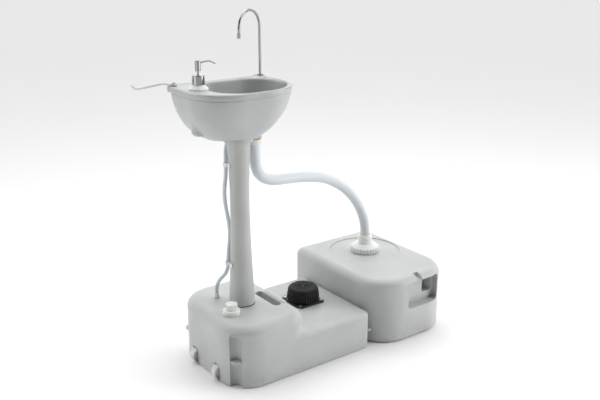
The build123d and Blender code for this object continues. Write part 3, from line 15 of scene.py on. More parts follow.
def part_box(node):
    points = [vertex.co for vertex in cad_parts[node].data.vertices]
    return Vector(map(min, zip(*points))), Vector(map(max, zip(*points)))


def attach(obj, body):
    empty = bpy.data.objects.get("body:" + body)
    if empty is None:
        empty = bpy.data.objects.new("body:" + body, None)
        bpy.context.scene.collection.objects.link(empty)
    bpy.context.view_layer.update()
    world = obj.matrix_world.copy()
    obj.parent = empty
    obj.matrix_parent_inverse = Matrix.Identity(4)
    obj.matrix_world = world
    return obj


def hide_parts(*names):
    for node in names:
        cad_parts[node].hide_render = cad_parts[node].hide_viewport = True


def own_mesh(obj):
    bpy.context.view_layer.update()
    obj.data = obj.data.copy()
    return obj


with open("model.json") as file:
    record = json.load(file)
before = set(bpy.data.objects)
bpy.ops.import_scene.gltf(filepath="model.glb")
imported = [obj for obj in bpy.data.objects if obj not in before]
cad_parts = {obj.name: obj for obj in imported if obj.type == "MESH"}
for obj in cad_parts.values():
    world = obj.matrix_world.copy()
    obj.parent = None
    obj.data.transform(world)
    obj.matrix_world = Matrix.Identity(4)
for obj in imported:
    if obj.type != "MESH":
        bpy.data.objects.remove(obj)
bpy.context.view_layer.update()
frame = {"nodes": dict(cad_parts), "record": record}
nodes = frame["nodes"]

# %% [markdown]
# ## The camera
# A long lens some two metres away, a little above the basin, turned so that the basin's front and the
# tanks' short ends both show. Forward and right give the camera's axes; up is their cross product.

# %% Camera
camera_data = bpy.data.cameras.new("camera")
camera_data.sensor_width = 36.0
camera_data.lens = 48.0
camera = bpy.data.objects.new("camera", camera_data)
bpy.context.scene.collection.objects.link(camera)
forward = Vector((0.56233, 0.76833, -0.30570)).normalized()
right = Vector((0.80696, -0.59061, 0.0)).normalized()
upward = right.cross(forward)
axes = Matrix((right, upward, -forward)).transposed()
camera_place = (-1.1365, -1.8418, 1.1933)
camera.matrix_world = Matrix.Translation(camera_place) @ axes.to_4x4()
bpy.context.scene.camera = camera
print("camera at", camera_place, "with a", camera_data.lens, "mm lens")


# %% [markdown]
# ## The two hoses
# A hose is one smooth line with a round section. The line is a NURBS curve of order 3 whose control points
# are the hose's route, so it bends evenly and cuts a little inside each corner. The drain hose hangs free
# from the nut under the basin to the neck of the waste tank; the supply hose is held by two clips.

# %% Hose curves
def hose_curve(name, route_mm, radius_mm):
    """A round tube along a NURBS curve of order 3 whose control points are the route."""
    curve = bpy.data.curves.new(name, "CURVE")
    curve.dimensions = "3D"
    curve.bevel_depth = 1.0          # the tube's radius is this times each point's own radius
    curve.bevel_resolution = 8
    spline = curve.splines.new("NURBS")
    spline.points.add(len(route_mm) - 1)
    for point, (x, y, z) in zip(spline.points, route_mm):
        point.co = (x / 1000, y / 1000, z / 1000, 1.0)
        point.radius = radius_mm / 1000
    spline.order_u = 3
    spline.use_endpoint_u = True
    spline.resolution_u = 16
    tube = bpy.data.objects.new(name, curve)
    bpy.context.scene.collection.objects.link(tube)
    return tube


drain_route = [
    (57.0, 6.0, 655.0), (57.0, 6.0, 622.0), (60.5, 6.3, 578.0), (88.0, 10.5, 546.0), (136.0, 16.5, 532.0),
    (190.0, 24.0, 527.5), (250.0, 32.0, 519.0), (310.0, 39.5, 507.0), (362.0, 46.5, 488.0), (412.0, 53.0, 459.0),
    (461.0, 59.5, 419.0), (501.0, 65.0, 368.0), (526.0, 68.2, 318.0), (532.0, 68.0, 276.0), (532.0, 68.0, 238.0),
]
supply_route = [
    (-43.0, 73.0, 200.0), (-43.0, 73.0, 220.0), (-40.0, 58.0, 247.0), (-33.5, 33.0, 272.0), (-30.8, 23.4, 296.0),
    (-30.3, 22.4, 320.0), (-24.0, 28.0, 350.0), (-15.0, 33.0, 388.0), (-18.0, 34.0, 432.0), (-31.0, 27.5, 480.0),
    (-36.0, 24.5, 525.0), (-31.5, 21.6, 567.0), (-29.6, 21.4, 593.0), (-29.3, 21.6, 617.0), (-23.5, 31.0, 644.0),
    (-4.0, 51.0, 665.0), (33.0, 70.0, 686.0), (78.0, 88.0, 704.0), (121.0, 101.0, 728.0), (146.0, 107.0, 764.0),
    (146.0, 107.0, 796.0),
]
drain_hose = hose_curve("drain_hose_tube", drain_route, 16.0)
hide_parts("drain_hose")
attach(drain_hose, "body")
supply_hose = hose_curve("supply_hose_tube", supply_route, 5.5)
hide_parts("supply_hose")
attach(supply_hose, "body")
print("route points:", len(drain_route), "and", len(supply_route))


# %% [markdown]
# ## Finishes
# Each finish is a small node tree on the Principled shader. Object coordinates carry the patterns, so they
# stay on the piece. Moulded plastic gets a fine pebble in the bump, slow changes of tone, scuffs that catch
# the light differently, and a little grime near the floor.

# %% Node helpers
def new_material(name, colour, roughness, metallic=0.0):
    """A material with its Principled shader; returns the material, its nodes, its links and the shader."""
    material = bpy.data.materials.new(name)
    material.use_nodes = True
    tree = material.node_tree
    shader = tree.nodes["Principled BSDF"]
    shader.inputs["Base Color"].default_value = (*colour, 1.0)
    shader.inputs["Roughness"].default_value = roughness
    shader.inputs["Metallic"].default_value = metallic
    return material, tree.nodes, tree.links, shader


def noise(nodes_, links, scale, detail=3.0, vector=None):
    """A noise texture on Object coordinates, or on the vector given."""
    texture = nodes_.new("ShaderNodeTexNoise")
    texture.inputs["Scale"].default_value = scale
    texture.inputs["Detail"].default_value = detail
    if vector is None:
        vector = nodes_.new("ShaderNodeTexCoord").outputs["Object"]
    links.new(vector, texture.inputs["Vector"])
    return texture.outputs["Fac"]


def ramp(nodes_, links, value, stops):
    """A colour ramp through (position, grey or colour) stops."""
    node = nodes_.new("ShaderNodeValToRGB")
    elements = node.color_ramp.elements
    while len(elements) < len(stops):
        elements.new(0.5)
    for element, (position, shade) in zip(elements, stops):
        element.position = position
        element.color = (*shade, 1.0) if hasattr(shade, "__len__") else (shade, shade, shade, 1.0)
    links.new(value, node.inputs["Fac"])
    return node.outputs["Color"]


def mix(nodes_, links, factor, a, b):
    """Mix two colours; each input is a socket or a plain value."""
    node = nodes_.new("ShaderNodeMix")
    node.data_type = "RGBA"
    for socket, value in ((node.inputs["Factor"], factor), (node.inputs["A"], a), (node.inputs["B"], b)):
        if isinstance(value, bpy.types.NodeSocket):
            links.new(value, socket)
        elif hasattr(value, "__len__"):
            socket.default_value = (*value, 1.0)
        else:
            socket.default_value = value
    return node.outputs["Result"]


def bump(nodes_, links, shader, heights):
    """Chain bump nodes, one for each (height socket, strength, distance in metres)."""
    normal = None
    for height, strength, distance in heights:
        node = nodes_.new("ShaderNodeBump")
        node.inputs["Strength"].default_value = strength
        node.inputs["Distance"].default_value = distance
        links.new(height, node.inputs["Height"])
        if normal is not None:
            links.new(normal, node.inputs["Normal"])
        normal = node.outputs["Normal"]
    links.new(normal, shader.inputs["Normal"])


# %% Moulded plastic
grime_height = 0.05                        # metres above the floor where the grime ends
soil = (0.22, 0.20, 0.17)


def moulded_plastic(name, colour, roughness=0.42, pebble=0.00012, grime=0.25):
    """Blow-moulded plastic: pebbled skin, cloudy tone, fine scuffs, and grime that fades with height."""
    material, n, l, shader = new_material(name, colour, roughness)
    cloud = noise(n, l, 9.0, 4.0)
    dark, light = tuple(0.93 * c for c in colour), tuple(min(1, 1.05 * c) for c in colour)
    tone = ramp(n, l, cloud, [(0.30, dark), (0.70, light)])
    coordinates = n.new("ShaderNodeTexCoord")
    split = n.new("ShaderNodeSeparateXYZ")
    l.new(coordinates.outputs["Object"], split.inputs[0])
    low = n.new("ShaderNodeMapRange")
    for name_, value in (("From Min", 0.0), ("From Max", grime_height), ("To Min", grime), ("To Max", 0.0)):
        low.inputs[name_].default_value = value
    l.new(split.outputs["Z"], low.inputs["Value"])
    speck = ramp(n, l, noise(n, l, 60.0, 6.0), [(0.45, 0.0), (0.70, 1.0)])
    dirty = n.new("ShaderNodeMath")
    dirty.operation = "MULTIPLY"
    l.new(low.outputs["Result"], dirty.inputs[0])
    l.new(speck, dirty.inputs[1])
    soiled = mix(n, l, dirty.outputs["Value"], tone, soil)
    l.new(soiled, shader.inputs["Base Color"])
    scuff = n.new("ShaderNodeMapping")
    scuff.inputs["Scale"].default_value = (6.0, 40.0, 14.0)
    scuff.inputs["Rotation"].default_value = (0.3, 0.5, 0.7)
    l.new(coordinates.outputs["Object"], scuff.inputs["Vector"])
    scratches = noise(n, l, 6.0, 8.0, scuff.outputs["Vector"])
    rough = ramp(n, l, scratches, [(0.35, roughness - 0.05), (0.65, roughness + 0.09)])
    l.new(rough, shader.inputs["Roughness"])
    shader.inputs["IOR"].default_value = 1.5
    bump(n, l, shader, [(noise(n, l, 900.0, 2.0), 0.5, pebble), (noise(n, l, 45.0, 2.0), 0.35, 0.0006)])
    return material


shell_grey = (0.51, 0.525, 0.52)
finishes = {
    "tank_plastic": moulded_plastic("tank_plastic", shell_grey),
    "waste_plastic": moulded_plastic("waste_plastic", shell_grey, 0.45),
    "column_plastic": moulded_plastic("column_plastic", (0.47, 0.48, 0.47), 0.40, 0.00006, 0.0),
    "basin_plastic": moulded_plastic("basin_plastic", (0.45, 0.465, 0.465), 0.36, 0.00006, 0.0),
    "cap_plastic": moulded_plastic("cap_plastic", (0.80, 0.81, 0.78), 0.33, 0.00004, 0.0),
    "white_plastic": moulded_plastic("white_plastic", (0.82, 0.83, 0.82), 0.28, 0.00003, 0.0),
    "ivory_plastic": moulded_plastic("ivory_plastic", (0.84, 0.81, 0.72), 0.40, 0.00004, 0.0),
    "ring_plastic": moulded_plastic("ring_plastic", (0.80, 0.81, 0.79), 0.38, 0.00004, 0.0),
    "inner_plastic": moulded_plastic("inner_plastic", (0.70, 0.72, 0.72), 0.40, 0.00004, 0.0),
    "arm_plastic": moulded_plastic("arm_plastic", (0.68, 0.69, 0.68), 0.34, 0.00004, 0.0),
    "wheel_plastic": moulded_plastic("wheel_plastic", (0.72, 0.73, 0.72), 0.42, 0.00008, 0.5),
    "pump_plastic": moulded_plastic("pump_plastic", (0.018, 0.018, 0.019), 0.40, 0.00008, 0.0),
}
print("moulded finishes:", len(finishes))


# %% Rubber, metal and hose
def rubber(name, colour):
    """Black rubber: dull, with a fine grain and a dusty bloom in patches."""
    material, n, l, shader = new_material(name, colour, 0.55)
    patches = ramp(n, l, noise(n, l, 30.0, 5.0), [(0.40, colour), (0.75, tuple(c + 0.008 for c in colour))])
    l.new(patches, shader.inputs["Base Color"])
    rough = ramp(n, l, noise(n, l, 120.0, 3.0), [(0.3, 0.42), (0.7, 0.62)])
    shader.inputs["Specular IOR Level"].default_value = 0.3
    l.new(rough, shader.inputs["Roughness"])
    bump(n, l, shader, [(noise(n, l, 1400.0, 2.0), 0.5, 0.0001)])
    return material


def metal(name, colour, roughness, smudge):
    """Bare or plated metal: smudges change the roughness, hair scratches show in the bump."""
    material, n, l, shader = new_material(name, colour, roughness, 1.0)
    rough = ramp(n, l, noise(n, l, 70.0, 5.0), [(0.40, roughness), (0.75, roughness + smudge)])
    l.new(rough, shader.inputs["Roughness"])
    tone = ramp(n, l, noise(n, l, 25.0, 3.0), [(0.3, tuple(0.94 * c for c in colour)), (0.7, colour)])
    l.new(tone, shader.inputs["Base Color"])
    bump(n, l, shader, [(noise(n, l, 500.0, 4.0), 0.12, 0.00002)])
    return material


def vinyl(name, colour, roughness, transmission, alpha):
    """Soft clear or milky vinyl: partly clear, glossy, with a slow change of haze along it."""
    material, n, l, shader = new_material(name, colour, roughness)
    haze = ramp(n, l, noise(n, l, 7.0, 2.0), [(0.35, tuple(0.96 * c for c in colour)), (0.65, colour)])
    l.new(haze, shader.inputs["Base Color"])
    rough = ramp(n, l, noise(n, l, 90.0, 3.0), [(0.35, roughness), (0.70, roughness + 0.10)])
    l.new(rough, shader.inputs["Roughness"])
    shader.inputs["Transmission Weight"].default_value = transmission
    shader.inputs["IOR"].default_value = 1.42
    shader.inputs["Alpha"].default_value = alpha
    bump(n, l, shader, [(noise(n, l, 35.0, 1.0), 0.10, 0.0003)])
    return material


finishes["black_rubber"] = rubber("black_rubber", (0.005, 0.005, 0.005))
finishes["steel"] = metal("steel", (0.62, 0.62, 0.61), 0.28, 0.14)
# The plating's base colour is kept dark so that it shows the dark reflections of a studio round it: painted dark
# reflection.
finishes["chrome"] = metal("chrome", (0.32, 0.33, 0.34), 0.05, 0.05)
finishes["clear_hose"] = vinyl("clear_hose", (0.66, 0.72, 0.77), 0.16, 0.15, 0.88)
finishes["drain_hose_plastic"] = vinyl("drain_hose_plastic", (0.66, 0.70, 0.74), 0.28, 0.0, 1.0)

print("all finishes:", len(finishes))

# %% Dress the CAD nodes
slot_of = {entry["node"]: entry["material_slot"] for entry in frame["record"]["subparts"]}


def dress(piece, slot_name):
    """Give a piece the one finish of the record's slot that it comes from."""
    piece.data.materials.clear()
    piece.data.materials.append(finishes[slot_name])
    return piece


for node_name, node in nodes.items():
    node.data.materials.clear()
    node.data.materials.append(finishes[slot_of[node_name]])
dress(drain_hose, "drain_hose_plastic")
dress(supply_hose, "clear_hose")
print("dressed", len(nodes), "nodes")


# %% [markdown]
# ## Surfaces from grids
# Every new shell is a grid of points: rows run up the shape, columns run round it. The whole grid is worked
# out as arrays, then joined into quads. A closed shape ends in a fan at each pole.

# %% Grid to mesh
def grid_piece(name, grid, body, slot_name, replaced=(), close_ends=True):
    """A closed-round mesh from grid[row, column, xyz] in metres. Its first and last rows are closed by fans, or
    else the last row is joined to the first, as on a ring."""
    rows, columns, _ = grid.shape
    points = grid.reshape(-1, 3)
    r, c = np.meshgrid(np.arange(rows - 1 if close_ends else rows), np.arange(columns), indexing="ij")
    nxt, above = (c + 1) % columns, (r + 1) % rows
    quads = np.stack([r * columns + c, r * columns + nxt, above * columns + nxt, above * columns + c], -1)
    faces = [tuple(q) for q in quads.reshape(-1, 4).tolist()]
    if close_ends:
        points = np.vstack([points, grid[0].mean(0), grid[-1].mean(0)])
        first, last = rows * columns, rows * columns + 1
        around = np.arange(columns)
        after = (around + 1) % columns
        faces += np.stack([after, around, np.full(columns, first)], -1).tolist()
        top = (rows - 1) * columns
        faces += np.stack([top + around, top + after, np.full(columns, last)], -1).tolist()
    mesh = bpy.data.meshes.new(name)
    mesh.from_pydata(points.tolist(), [], faces)
    mesh.polygons.foreach_set("use_smooth", np.ones(len(mesh.polygons), bool))
    mesh.validate()
    mesh.update()
    piece = bpy.data.objects.new(name, mesh)
    bpy.context.scene.collection.objects.link(piece)
    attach(piece, body)
    if replaced:
        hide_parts(*replaced)
    dress(piece, slot_name)
    print(name, len(mesh.polygons), "faces")
    return piece


def smooth_step(value, low, high):
    """0 below low, 1 above high, and a smooth S between them."""
    t = np.clip((value - low) / (high - low), 0, 1)
    return t * t * (3 - 2 * t)


def smooth_max(a, b, width):
    """The larger of two arrays, rounded over a width where they cross."""
    h = np.clip(0.5 + 0.5 * (a - b) / width, 0, 1)
    return b * (1 - h) + a * h + width * h * (1 - h)


angles = np.linspace(0, 2 * np.pi, 288, endpoint=False)
ray = np.stack([np.cos(angles), np.sin(angles)], -1)


def rounded_reach(x0, x1, y0, y1, front, back, centre=(0.0, 0.0), front_right=None, back_right=None):
    """Distance from a centre to a rectangle with rounded corners, along each angle: the outline is walked as
    one dense line of straights and quarter circles, then read off against its own angle."""
    radii = [back if back_right is None else back_right, back,
             front, front if front_right is None else front_right]
    corners = [(x1, y1), (x0, y1), (x0, y0), (x1, y0)]
    turn = np.linspace(0, np.pi / 2, 40)
    pieces = []
    for k, ((cx, cy), radius) in enumerate(zip(corners, radii)):
        mx, my = cx - np.sign(cx - (x0 + x1) / 2) * radius, cy - np.sign(cy - (y0 + y1) / 2) * radius
        arc = turn + k * np.pi / 2
        pieces.append(np.stack([mx + radius * np.cos(arc), my + radius * np.sin(arc)], -1))
    line = np.vstack(pieces)
    line = np.vstack([line, line[:1]])
    steps = np.linspace(0, 1, 60)[:-1]
    dense = (line[:-1, None] + (line[1:] - line[:-1])[:, None] * steps[None, :, None]).reshape(-1, 2)
    dense = dense - np.array(centre)
    bearing = np.arctan2(dense[:, 1], dense[:, 0]) % (2 * np.pi)
    order = np.argsort(bearing)
    reach = np.hypot(dense[:, 0], dense[:, 1])
    return np.interp(angles, bearing[order], reach[order], period=2 * np.pi)


def disc_reach(cx, cy, radius, centre=(0.0, 0.0)):
    """Far distance from a centre to a circle along each angle, and 0 where the ray misses it."""
    ox, oy = cx - centre[0], cy - centre[1]
    along = ray[:, 0] * ox + ray[:, 1] * oy
    inside = radius ** 2 - (ox ** 2 + oy ** 2 - along ** 2)
    return np.where((inside > 0) & (along > 0), along + np.sqrt(np.maximum(inside, 0)), 0.0)


# %% [markdown]
# ## The foot pump
# The pump is a squat black rubber dome on a square plate. Its skirt has upright ribs and folds down when a
# foot presses the cap, which has rows of small studs for grip. The skirt stays on the tank, and the cap moves
# with the plunger.

# %% Pump skirt and cap
pump_centre = np.array([238.0, 20.0])
plate_top, cap_low, cap_high = 122.5, 155.0, 168.5
ribs = 0.5 + 0.5 * np.cos(36 * angles)


def row_points(reach, z, centre=(0.0, 0.0)):
    """Points at a reach along every angle from a centre, all at one height; a single reach makes a circle."""
    reach = np.broadcast_to(reach, angles.shape)
    return np.stack([centre[0] + reach * ray[:, 0], centre[1] + reach * ray[:, 1], np.full(len(reach), z)], -1)


def round_rows(profile, centre, flute):
    """Rows of points round a centre: each profile entry is (radius, height, rib depth), in millimetres."""
    return np.array([row_points(radius - depth * flute, z, centre) for radius, z, depth in profile]) / 1000


skirt_radius, skirt_swell = 48.0, 2.6      # the ribs are as deep as the skirt swells
lift = np.linspace(0, 1, 14)
skirt_profile = [(40.0, plate_top, 0.0)]
skirt_profile += [(skirt_radius + skirt_swell * np.sin(np.pi * t ** 0.8),
                   plate_top + t * (cap_low - plate_top),
                   skirt_swell * np.sin(np.pi * (0.12 + 0.8 * t))) for t in lift]
skirt_profile += [(44.0, cap_low, 0.0)]
pump_skirt = grid_piece("pump_skirt", round_rows(skirt_profile, pump_centre, ribs), "body", "black_rubber",
                        ["pump_bellows"])
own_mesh(pump_skirt)

cap_flat, cap_round, crown = 38.0, 10.0, 37.0
stud_pitch, stud_height = 5.4, 0.0016      # millimetres between rings of studs; metres that a stud stands up
cap_profile = [(47.6, cap_low - 0.6, 1.2)]
cap_profile += [(cap_flat + cap_round * np.cos(a),
                 cap_low + 1.0 + (cap_high - cap_low - 2.6) * np.sin(a),
                 1.6 * np.cos(a) + 0.3) for a in np.linspace(0, np.pi / 2, 10)]
cap_profile += [(r, cap_high - 1.4 + (crown - r) / crown, 0.0) for r in np.arange(crown, 0.5, -0.9)]
cap_grid = round_rows(cap_profile, pump_centre, ribs)
spread = np.hypot(cap_grid[..., 0] - pump_centre[0] / 1000, cap_grid[..., 1] - pump_centre[1] / 1000) * 1000
stud_rings = np.cos(spread * 2 * np.pi / stud_pitch) * np.cos(24 * angles)[None, :]
studs = np.clip(stud_rings, 0, 1) * (spread < 41) * (spread > 6)
cap_grid[..., 2] += stud_height * studs * (cap_grid[..., 2] > (cap_high - 6) / 1000)
grid_piece("pump_cap", cap_grid, "pump_plunger", "black_rubber", ["pump_pedal"])

# %% [markdown]
# ## Springs
# A spring is a round wire carried along a helix. The springs sit inside the pump and the soap bottle.

# %% Springs
def coil_spring(name, centre, radius, low, high, turns, wire, slot_name, node):
    """Wire of a round section round a helix: the section turns in the plane of the radius and the axis."""
    t = np.linspace(0, 1, int(turns * 40) + 1)[:, None]
    a = 2 * np.pi * turns * t
    around = np.linspace(0, 2 * np.pi, 10, endpoint=False)[None, :]
    r = radius + wire * np.cos(around)
    z = low + (high - low) * t + wire * np.sin(around)
    grid = np.stack([centre[0] + r * np.cos(a), centre[1] + r * np.sin(a), z + 0 * a], -1) / 1000
    return grid_piece(name, grid[:, ::-1], "body", slot_name, [node])


spring_low = 89.5
pump_coil = coil_spring("pump_coil", pump_centre, radius=20.0, low=spring_low, high=cap_low - 2.5, turns=6,
                        wire=1.2, slot_name="steel", node="pump_spring")
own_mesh(pump_coil)
soap_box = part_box("soap_spring")
soap_low, soap_high = soap_box[0][2] * 1000 + 0.5, soap_box[1][2] * 1000 - 0.5
soap_coil = coil_spring("soap_coil", (-118.0, 0.0), radius=(soap_box[1][0] - soap_box[0][0]) * 500 - 0.5,
                        low=soap_low, high=soap_high, turns=7, wire=0.5, slot_name="steel", node="soap_spring")
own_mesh(soap_coil)

# %% [markdown]
# ## The ring nut
# The big nut that holds the hose's sleeve on the waste tank has coarse upright ribs for the fingers and a
# sloping top. One profile is carried round, with the ribs fading out towards the slope.

# %% Ring nut
nut_flutes = np.clip(np.cos(30 * angles) * 1.6, -0.6, 1.0) * 0.5 + 0.3
nut_profile = [(36.3, 204.5, 0.0), (45.0, 204.5, 0.0), (47.6, 205.4, 2.4), (48.0, 206.5, 3.2), (48.0, 219.0, 3.2),
               (47.0, 221.5, 2.4), (44.5, 223.2, 0.8), (41.0, 225.0, 0.0), (36.0, 228.5, 0.0), (34.5, 230.8, 0.0),
               (32.0, 231.5, 0.0), (25.0, 231.5, 0.0), (23.8, 231.0, 0.0), (23.8, 224.6, 0.0), (36.3, 224.6, 0.0)]
grid_piece("ring_nut", round_rows(nut_profile, (532.0, 68.0), nut_flutes), "ring_nut", "ring_plastic",
           ["waste_ring"], close_ends=False)


# %% [markdown]
# ## Mouldings on the fresh-water tank
# The high end flares into the low deck with a hollow curve, a round bar stands proud beside the finger
# slot, and a low ridge curves round the back of the pump. Each is a closed strip that sinks a little into
# the tank.

# %% Flare, carry bar and ridge
deck_top = 116.0
tank_left, hump_right, deck_right, tank_half = -128, 120, 354, 174
tank_corner, hump_corner, deck_corner = 95, 60, 22
hump_plan = rounded_reach(tank_left, hump_right, -tank_half, tank_half, tank_corner, tank_corner,
                          front_right=hump_corner, back_right=hump_corner)
deck_plan = rounded_reach(tank_left, deck_right, -tank_half, tank_half, tank_corner, tank_corner,
                          front_right=deck_corner, back_right=deck_corner)
flare = np.clip(0.8 * (deck_plan - hump_plan - 9.0), 0.3, 20.0)
flare_plan = hump_plan - 40.0 * smooth_step(-np.cos(angles), 0.0, 0.3)      # sunk into the tank round the back
flare_rows = []
for bend in np.linspace(0, np.pi / 2, 10):
    outward = flare * (1 - np.sin(bend))
    rise = flare * (1 - np.cos(bend))
    ring = row_points(flare_plan - 0.4 + outward, deck_top + 0.1)
    ring[:, 2] += rise
    flare_rows.append(ring)
inner = row_points(flare_plan - 3.0, deck_top - 2.0)
upper = inner.copy()
upper[:, 2] += flare + 2.0
foot = row_points(flare_plan - 0.4 + flare, deck_top - 2.0)
grid_piece("hump_flare", np.array(flare_rows + [upper, inner, foot]) / 1000, "body", "tank_plastic",
           close_ends=False)


def bar_grid(points, half_width, height, columns=24):
    """A rounded bar along a line of points: each section is an ellipse whose size falls to nothing at both ends."""
    points = np.asarray(points, float)
    forward_dir = np.gradient(points, axis=0)
    forward_dir /= np.linalg.norm(forward_dir, axis=1, keepdims=True)
    side = np.stack([-forward_dir[:, 1], forward_dir[:, 0], np.zeros(len(points))], -1)
    t = np.linspace(0, 1, len(points))
    size = np.clip(np.sqrt(np.maximum(1 - (2 * t - 1) ** 8, 0)), 0.05, 1)[:, None, None]
    a = np.linspace(0, 2 * np.pi, columns, endpoint=False)[None, :, None]
    section = half_width * np.cos(a) * side[:, None] + height * np.sin(a) * np.array([0, 0, 1.0])
    return points[:, None] + size * section


bar_x, bar_z, ridge_radius = 100.0, 181.0, 70.0
bar_y = np.linspace(-80.0, 34.0, 60)
bar_line = np.stack([bar_x + 0 * bar_y, bar_y, bar_z + 0 * bar_y], -1)
grid_piece("carry_bar", bar_grid(bar_line, half_width=10.5, height=6.5)[:, ::-1] / 1000, "body", "tank_plastic")
sweep = np.radians(np.linspace(108, 232, 60))
ridge_line = np.stack([pump_centre[0] + ridge_radius * np.cos(sweep),
                       pump_centre[1] + ridge_radius * np.sin(sweep), deck_top - 0.5 + 0 * sweep], -1)
grid_piece("pump_ridge", bar_grid(ridge_line, half_width=7.0, height=5.0)[:, ::-1] / 1000, "body", "tank_plastic")

# %% [markdown]
# ## The basin
# The basin is one moulded shell: a neck that drops over the column, a rounded outer wall with a lump where
# the soap bottle's well comes through, a slab of a rim with two lugs, a raised bead round the rim, a flat
# deck for the soap, and the bowl. It is one surface from the underside round the rim and down to the drain.

# %% Basin surface
neck_low, rim_top = 672.0, 827.0
wall_depth, bowl_depth, bowl_fullness = 160.0, 130.0, 2.0      # the depths where the two curves would close
bead, lip, bowl_drop, strainer_reach = 5.5, 7.0, 111.0, 22.6
basin_plan = rounded_reach(-165, 152, -135, 110, 112, 52, front_right=134)
full_side = 1.7 + 1.1 * smooth_step(np.cos(angles - np.radians(150)), 0.0, 0.9)
lug_plan = smooth_max(basin_plan, smooth_max(disc_reach(-144, 89, 19), disc_reach(146, 107, 19), 2.0), 6.0)
drain_centre = np.array([57.0, 6.0])
bowl_plan = rounded_reach(-99, 134, -117, 86, 80, 74, centre=drain_centre)


def shell_share(drop, depth, fullness):
    """How much of a plan is left at a drop below its top: (1 - (drop / depth) to the
    power 1.8) to the power 1 / fullness, which closes at the depth."""
    return (1 - (drop / depth) ** 1.8) ** (1 / fullness)


def wall_row(z):
    """The outer wall's reach at one height: the shrunk plan, the neck and the lumps, blended where they meet."""
    reach = basin_plan * shell_share(min(rim_top - z, 156.0), wall_depth, full_side)
    reach = reach * smooth_step(np.float64(z), 679.0, 693.0)
    reach = smooth_max(reach, np.full_like(reach, 41.0), 9.0)
    well_round = np.sqrt(max(0.0, 1 - (max(0.0, 714.0 - z) / 10.5) ** 2)) if z > 703.6 else 0.0
    if well_round > 0:
        reach = smooth_max(reach, disc_reach(-118, 0, 14.0 + 9.5 * well_round), 7.0)
    boss = disc_reach(*drain_centre, 21.0)
    return smooth_max(reach, boss, 4.0)


rows = [row_points(24.0, neck_low)]
heights = np.concatenate([[neck_low, 672.4, 674.0], np.arange(677, 726, 1.5), np.arange(728, 812, 4.0), [812.0]])
rows += [row_points(wall_row(z) - (1.2 if z == neck_low else 0.0), z) for z in heights]
for inset, z in ((2.0, 812.6), (0.6, 813.2), (0.0, 815.0), (0.0, 819.0), (0.0, 823.0)):
    rows.append(row_points(lug_plan - inset, z))
for turn in np.linspace(0, np.pi / 2, 7)[1:]:
    rows.append(row_points(lug_plan - bead * (1 - np.cos(turn)), 823.0 + bead * np.sin(turn)))
for inset, z in ((7.5, 828.4), (9.5, 827.9), (11.5, 827.2), (13.0, 827.0)):
    rows.append(row_points(lug_plan - inset, z))
deck_outer = row_points(lug_plan - 13.0, rim_top)
deck_inner = row_points(bowl_plan + lip, rim_top, drain_centre)
for share in (0.25, 0.5, 0.75, 1.0):
    rows.append(deck_outer * (1 - share) + deck_inner * share)
for turn in np.linspace(0, np.pi / 2, 8)[1:]:
    rows.append(row_points(bowl_plan + lip * (1 - np.sin(turn)), rim_top - lip + lip * np.cos(turn), drain_centre))
for drop in np.concatenate([np.arange(10, 100, 4.5), [100, 103.5, 106.5, 109.0, 111.0]]):
    share = shell_share(drop, bowl_depth, bowl_fullness)
    rows.append(row_points(bowl_plan * share, rim_top - drop, drain_centre))
floor_reach = bowl_plan * shell_share(bowl_drop, bowl_depth, bowl_fullness)
for share in (0.9, 0.75, 0.55, 0.3, 0.0):
    reach = strainer_reach + (floor_reach - strainer_reach) * share
    rows.append(row_points(reach, 714.2 + 1.8 * share ** 2, drain_centre))
rows.append(row_points(22.4, 713.2, drain_centre))
rows.append(row_points(13.5, 713.0, drain_centre))
grid_piece("basin_shell", np.array(rows) / 1000, "body", "basin_plastic", ["basin"])


# %% [markdown]
# ## The floor and the light
# A plain pale sweep of floor and a white tent of light with one dark flag in front of the object, so that
# the rounded walls turn darker down the middle and the plated pieces get dark stripes. A large soft light
# on each side and one from above lift the edges.

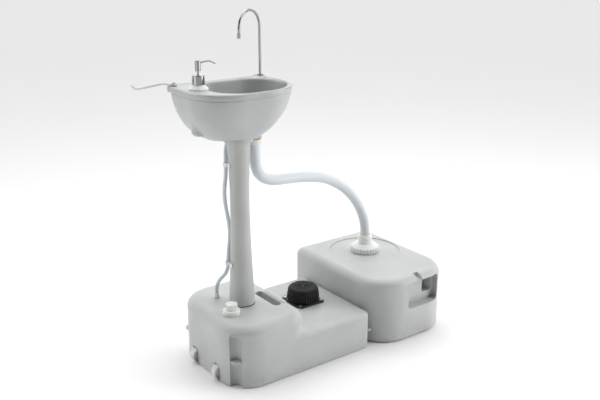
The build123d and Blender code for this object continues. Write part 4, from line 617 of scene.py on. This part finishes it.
# %% Floor and lights
bpy.ops.mesh.primitive_plane_add(size=60.0, location=(0.2, 0.0, 0.0))
floor = bpy.context.object
floor.name = "floor"
floor_finish, floor_nodes, floor_links, floor_shader = new_material("floor", (0.92, 0.92, 0.92), 0.85)
floor_tone = ramp(floor_nodes, floor_links, noise(floor_nodes, floor_links, 1.0, 1.0), [(0.3, 0.945), (0.7, 0.955)])
floor_links.new(floor_tone, floor_shader.inputs["Base Color"])
floor.data.materials.append(floor_finish)

flag_direction = (-0.66, -0.75, 0.0)
world = bpy.data.worlds.new("studio")
world.use_nodes = True
sky = world.node_tree
direction = sky.nodes.new("ShaderNodeTexCoord").outputs["Generated"]
flat_direction = sky.nodes.new("ShaderNodeVectorMath")
flat_direction.operation = "MULTIPLY"
flat_direction.inputs[1].default_value = (1.0, 1.0, 0.0)
sky.links.new(direction, flat_direction.inputs[0])
unit = sky.nodes.new("ShaderNodeVectorMath")
unit.operation = "NORMALIZE"
sky.links.new(flat_direction.outputs[0], unit.inputs[0])
towards_flag = sky.nodes.new("ShaderNodeVectorMath")
towards_flag.operation = "DOT_PRODUCT"
towards_flag.inputs[1].default_value = flag_direction
sky.links.new(unit.outputs[0], towards_flag.inputs[0])
flag = ramp(sky.nodes, sky.links, towards_flag.outputs["Value"], [(0.12, 1.0), (0.60, 0.02)])
sky.links.new(flag, sky.nodes["Background"].inputs["Color"])
sky.nodes["Background"].inputs["Strength"].default_value = 1.32
bpy.context.scene.world = world
bpy.context.scene.view_settings.view_transform = "Standard"


def soft_light(name, place, target, size, power):
    """A large area light at a place, turned towards a target."""
    data = bpy.data.lights.new(name, "AREA")
    data.shape = "RECTANGLE"
    data.size, data.size_y = size
    data.energy = power
    lamp = bpy.data.objects.new(name, data)
    bpy.context.scene.collection.objects.link(lamp)
    lamp.location = place
    lamp.rotation_mode = "QUATERNION"
    lamp.rotation_quaternion = (Vector(target) - Vector(place)).to_track_quat("-Z", "Y")
    print(name, power, "W")


soft_light("light_left", (-2.4, 0.1, 1.1), (0.1, 0.0, 0.5), (1.4, 2.2), power=11.0)
soft_light("light_right", (2.3, -1.9, 1.2), (0.2, 0.0, 0.4), (1.4, 2.2), power=32.0)
soft_light("light_top", (0.2, 0.5, 2.8), (0.2, 0.0, 0.3), (2.6, 2.6), power=26.0)
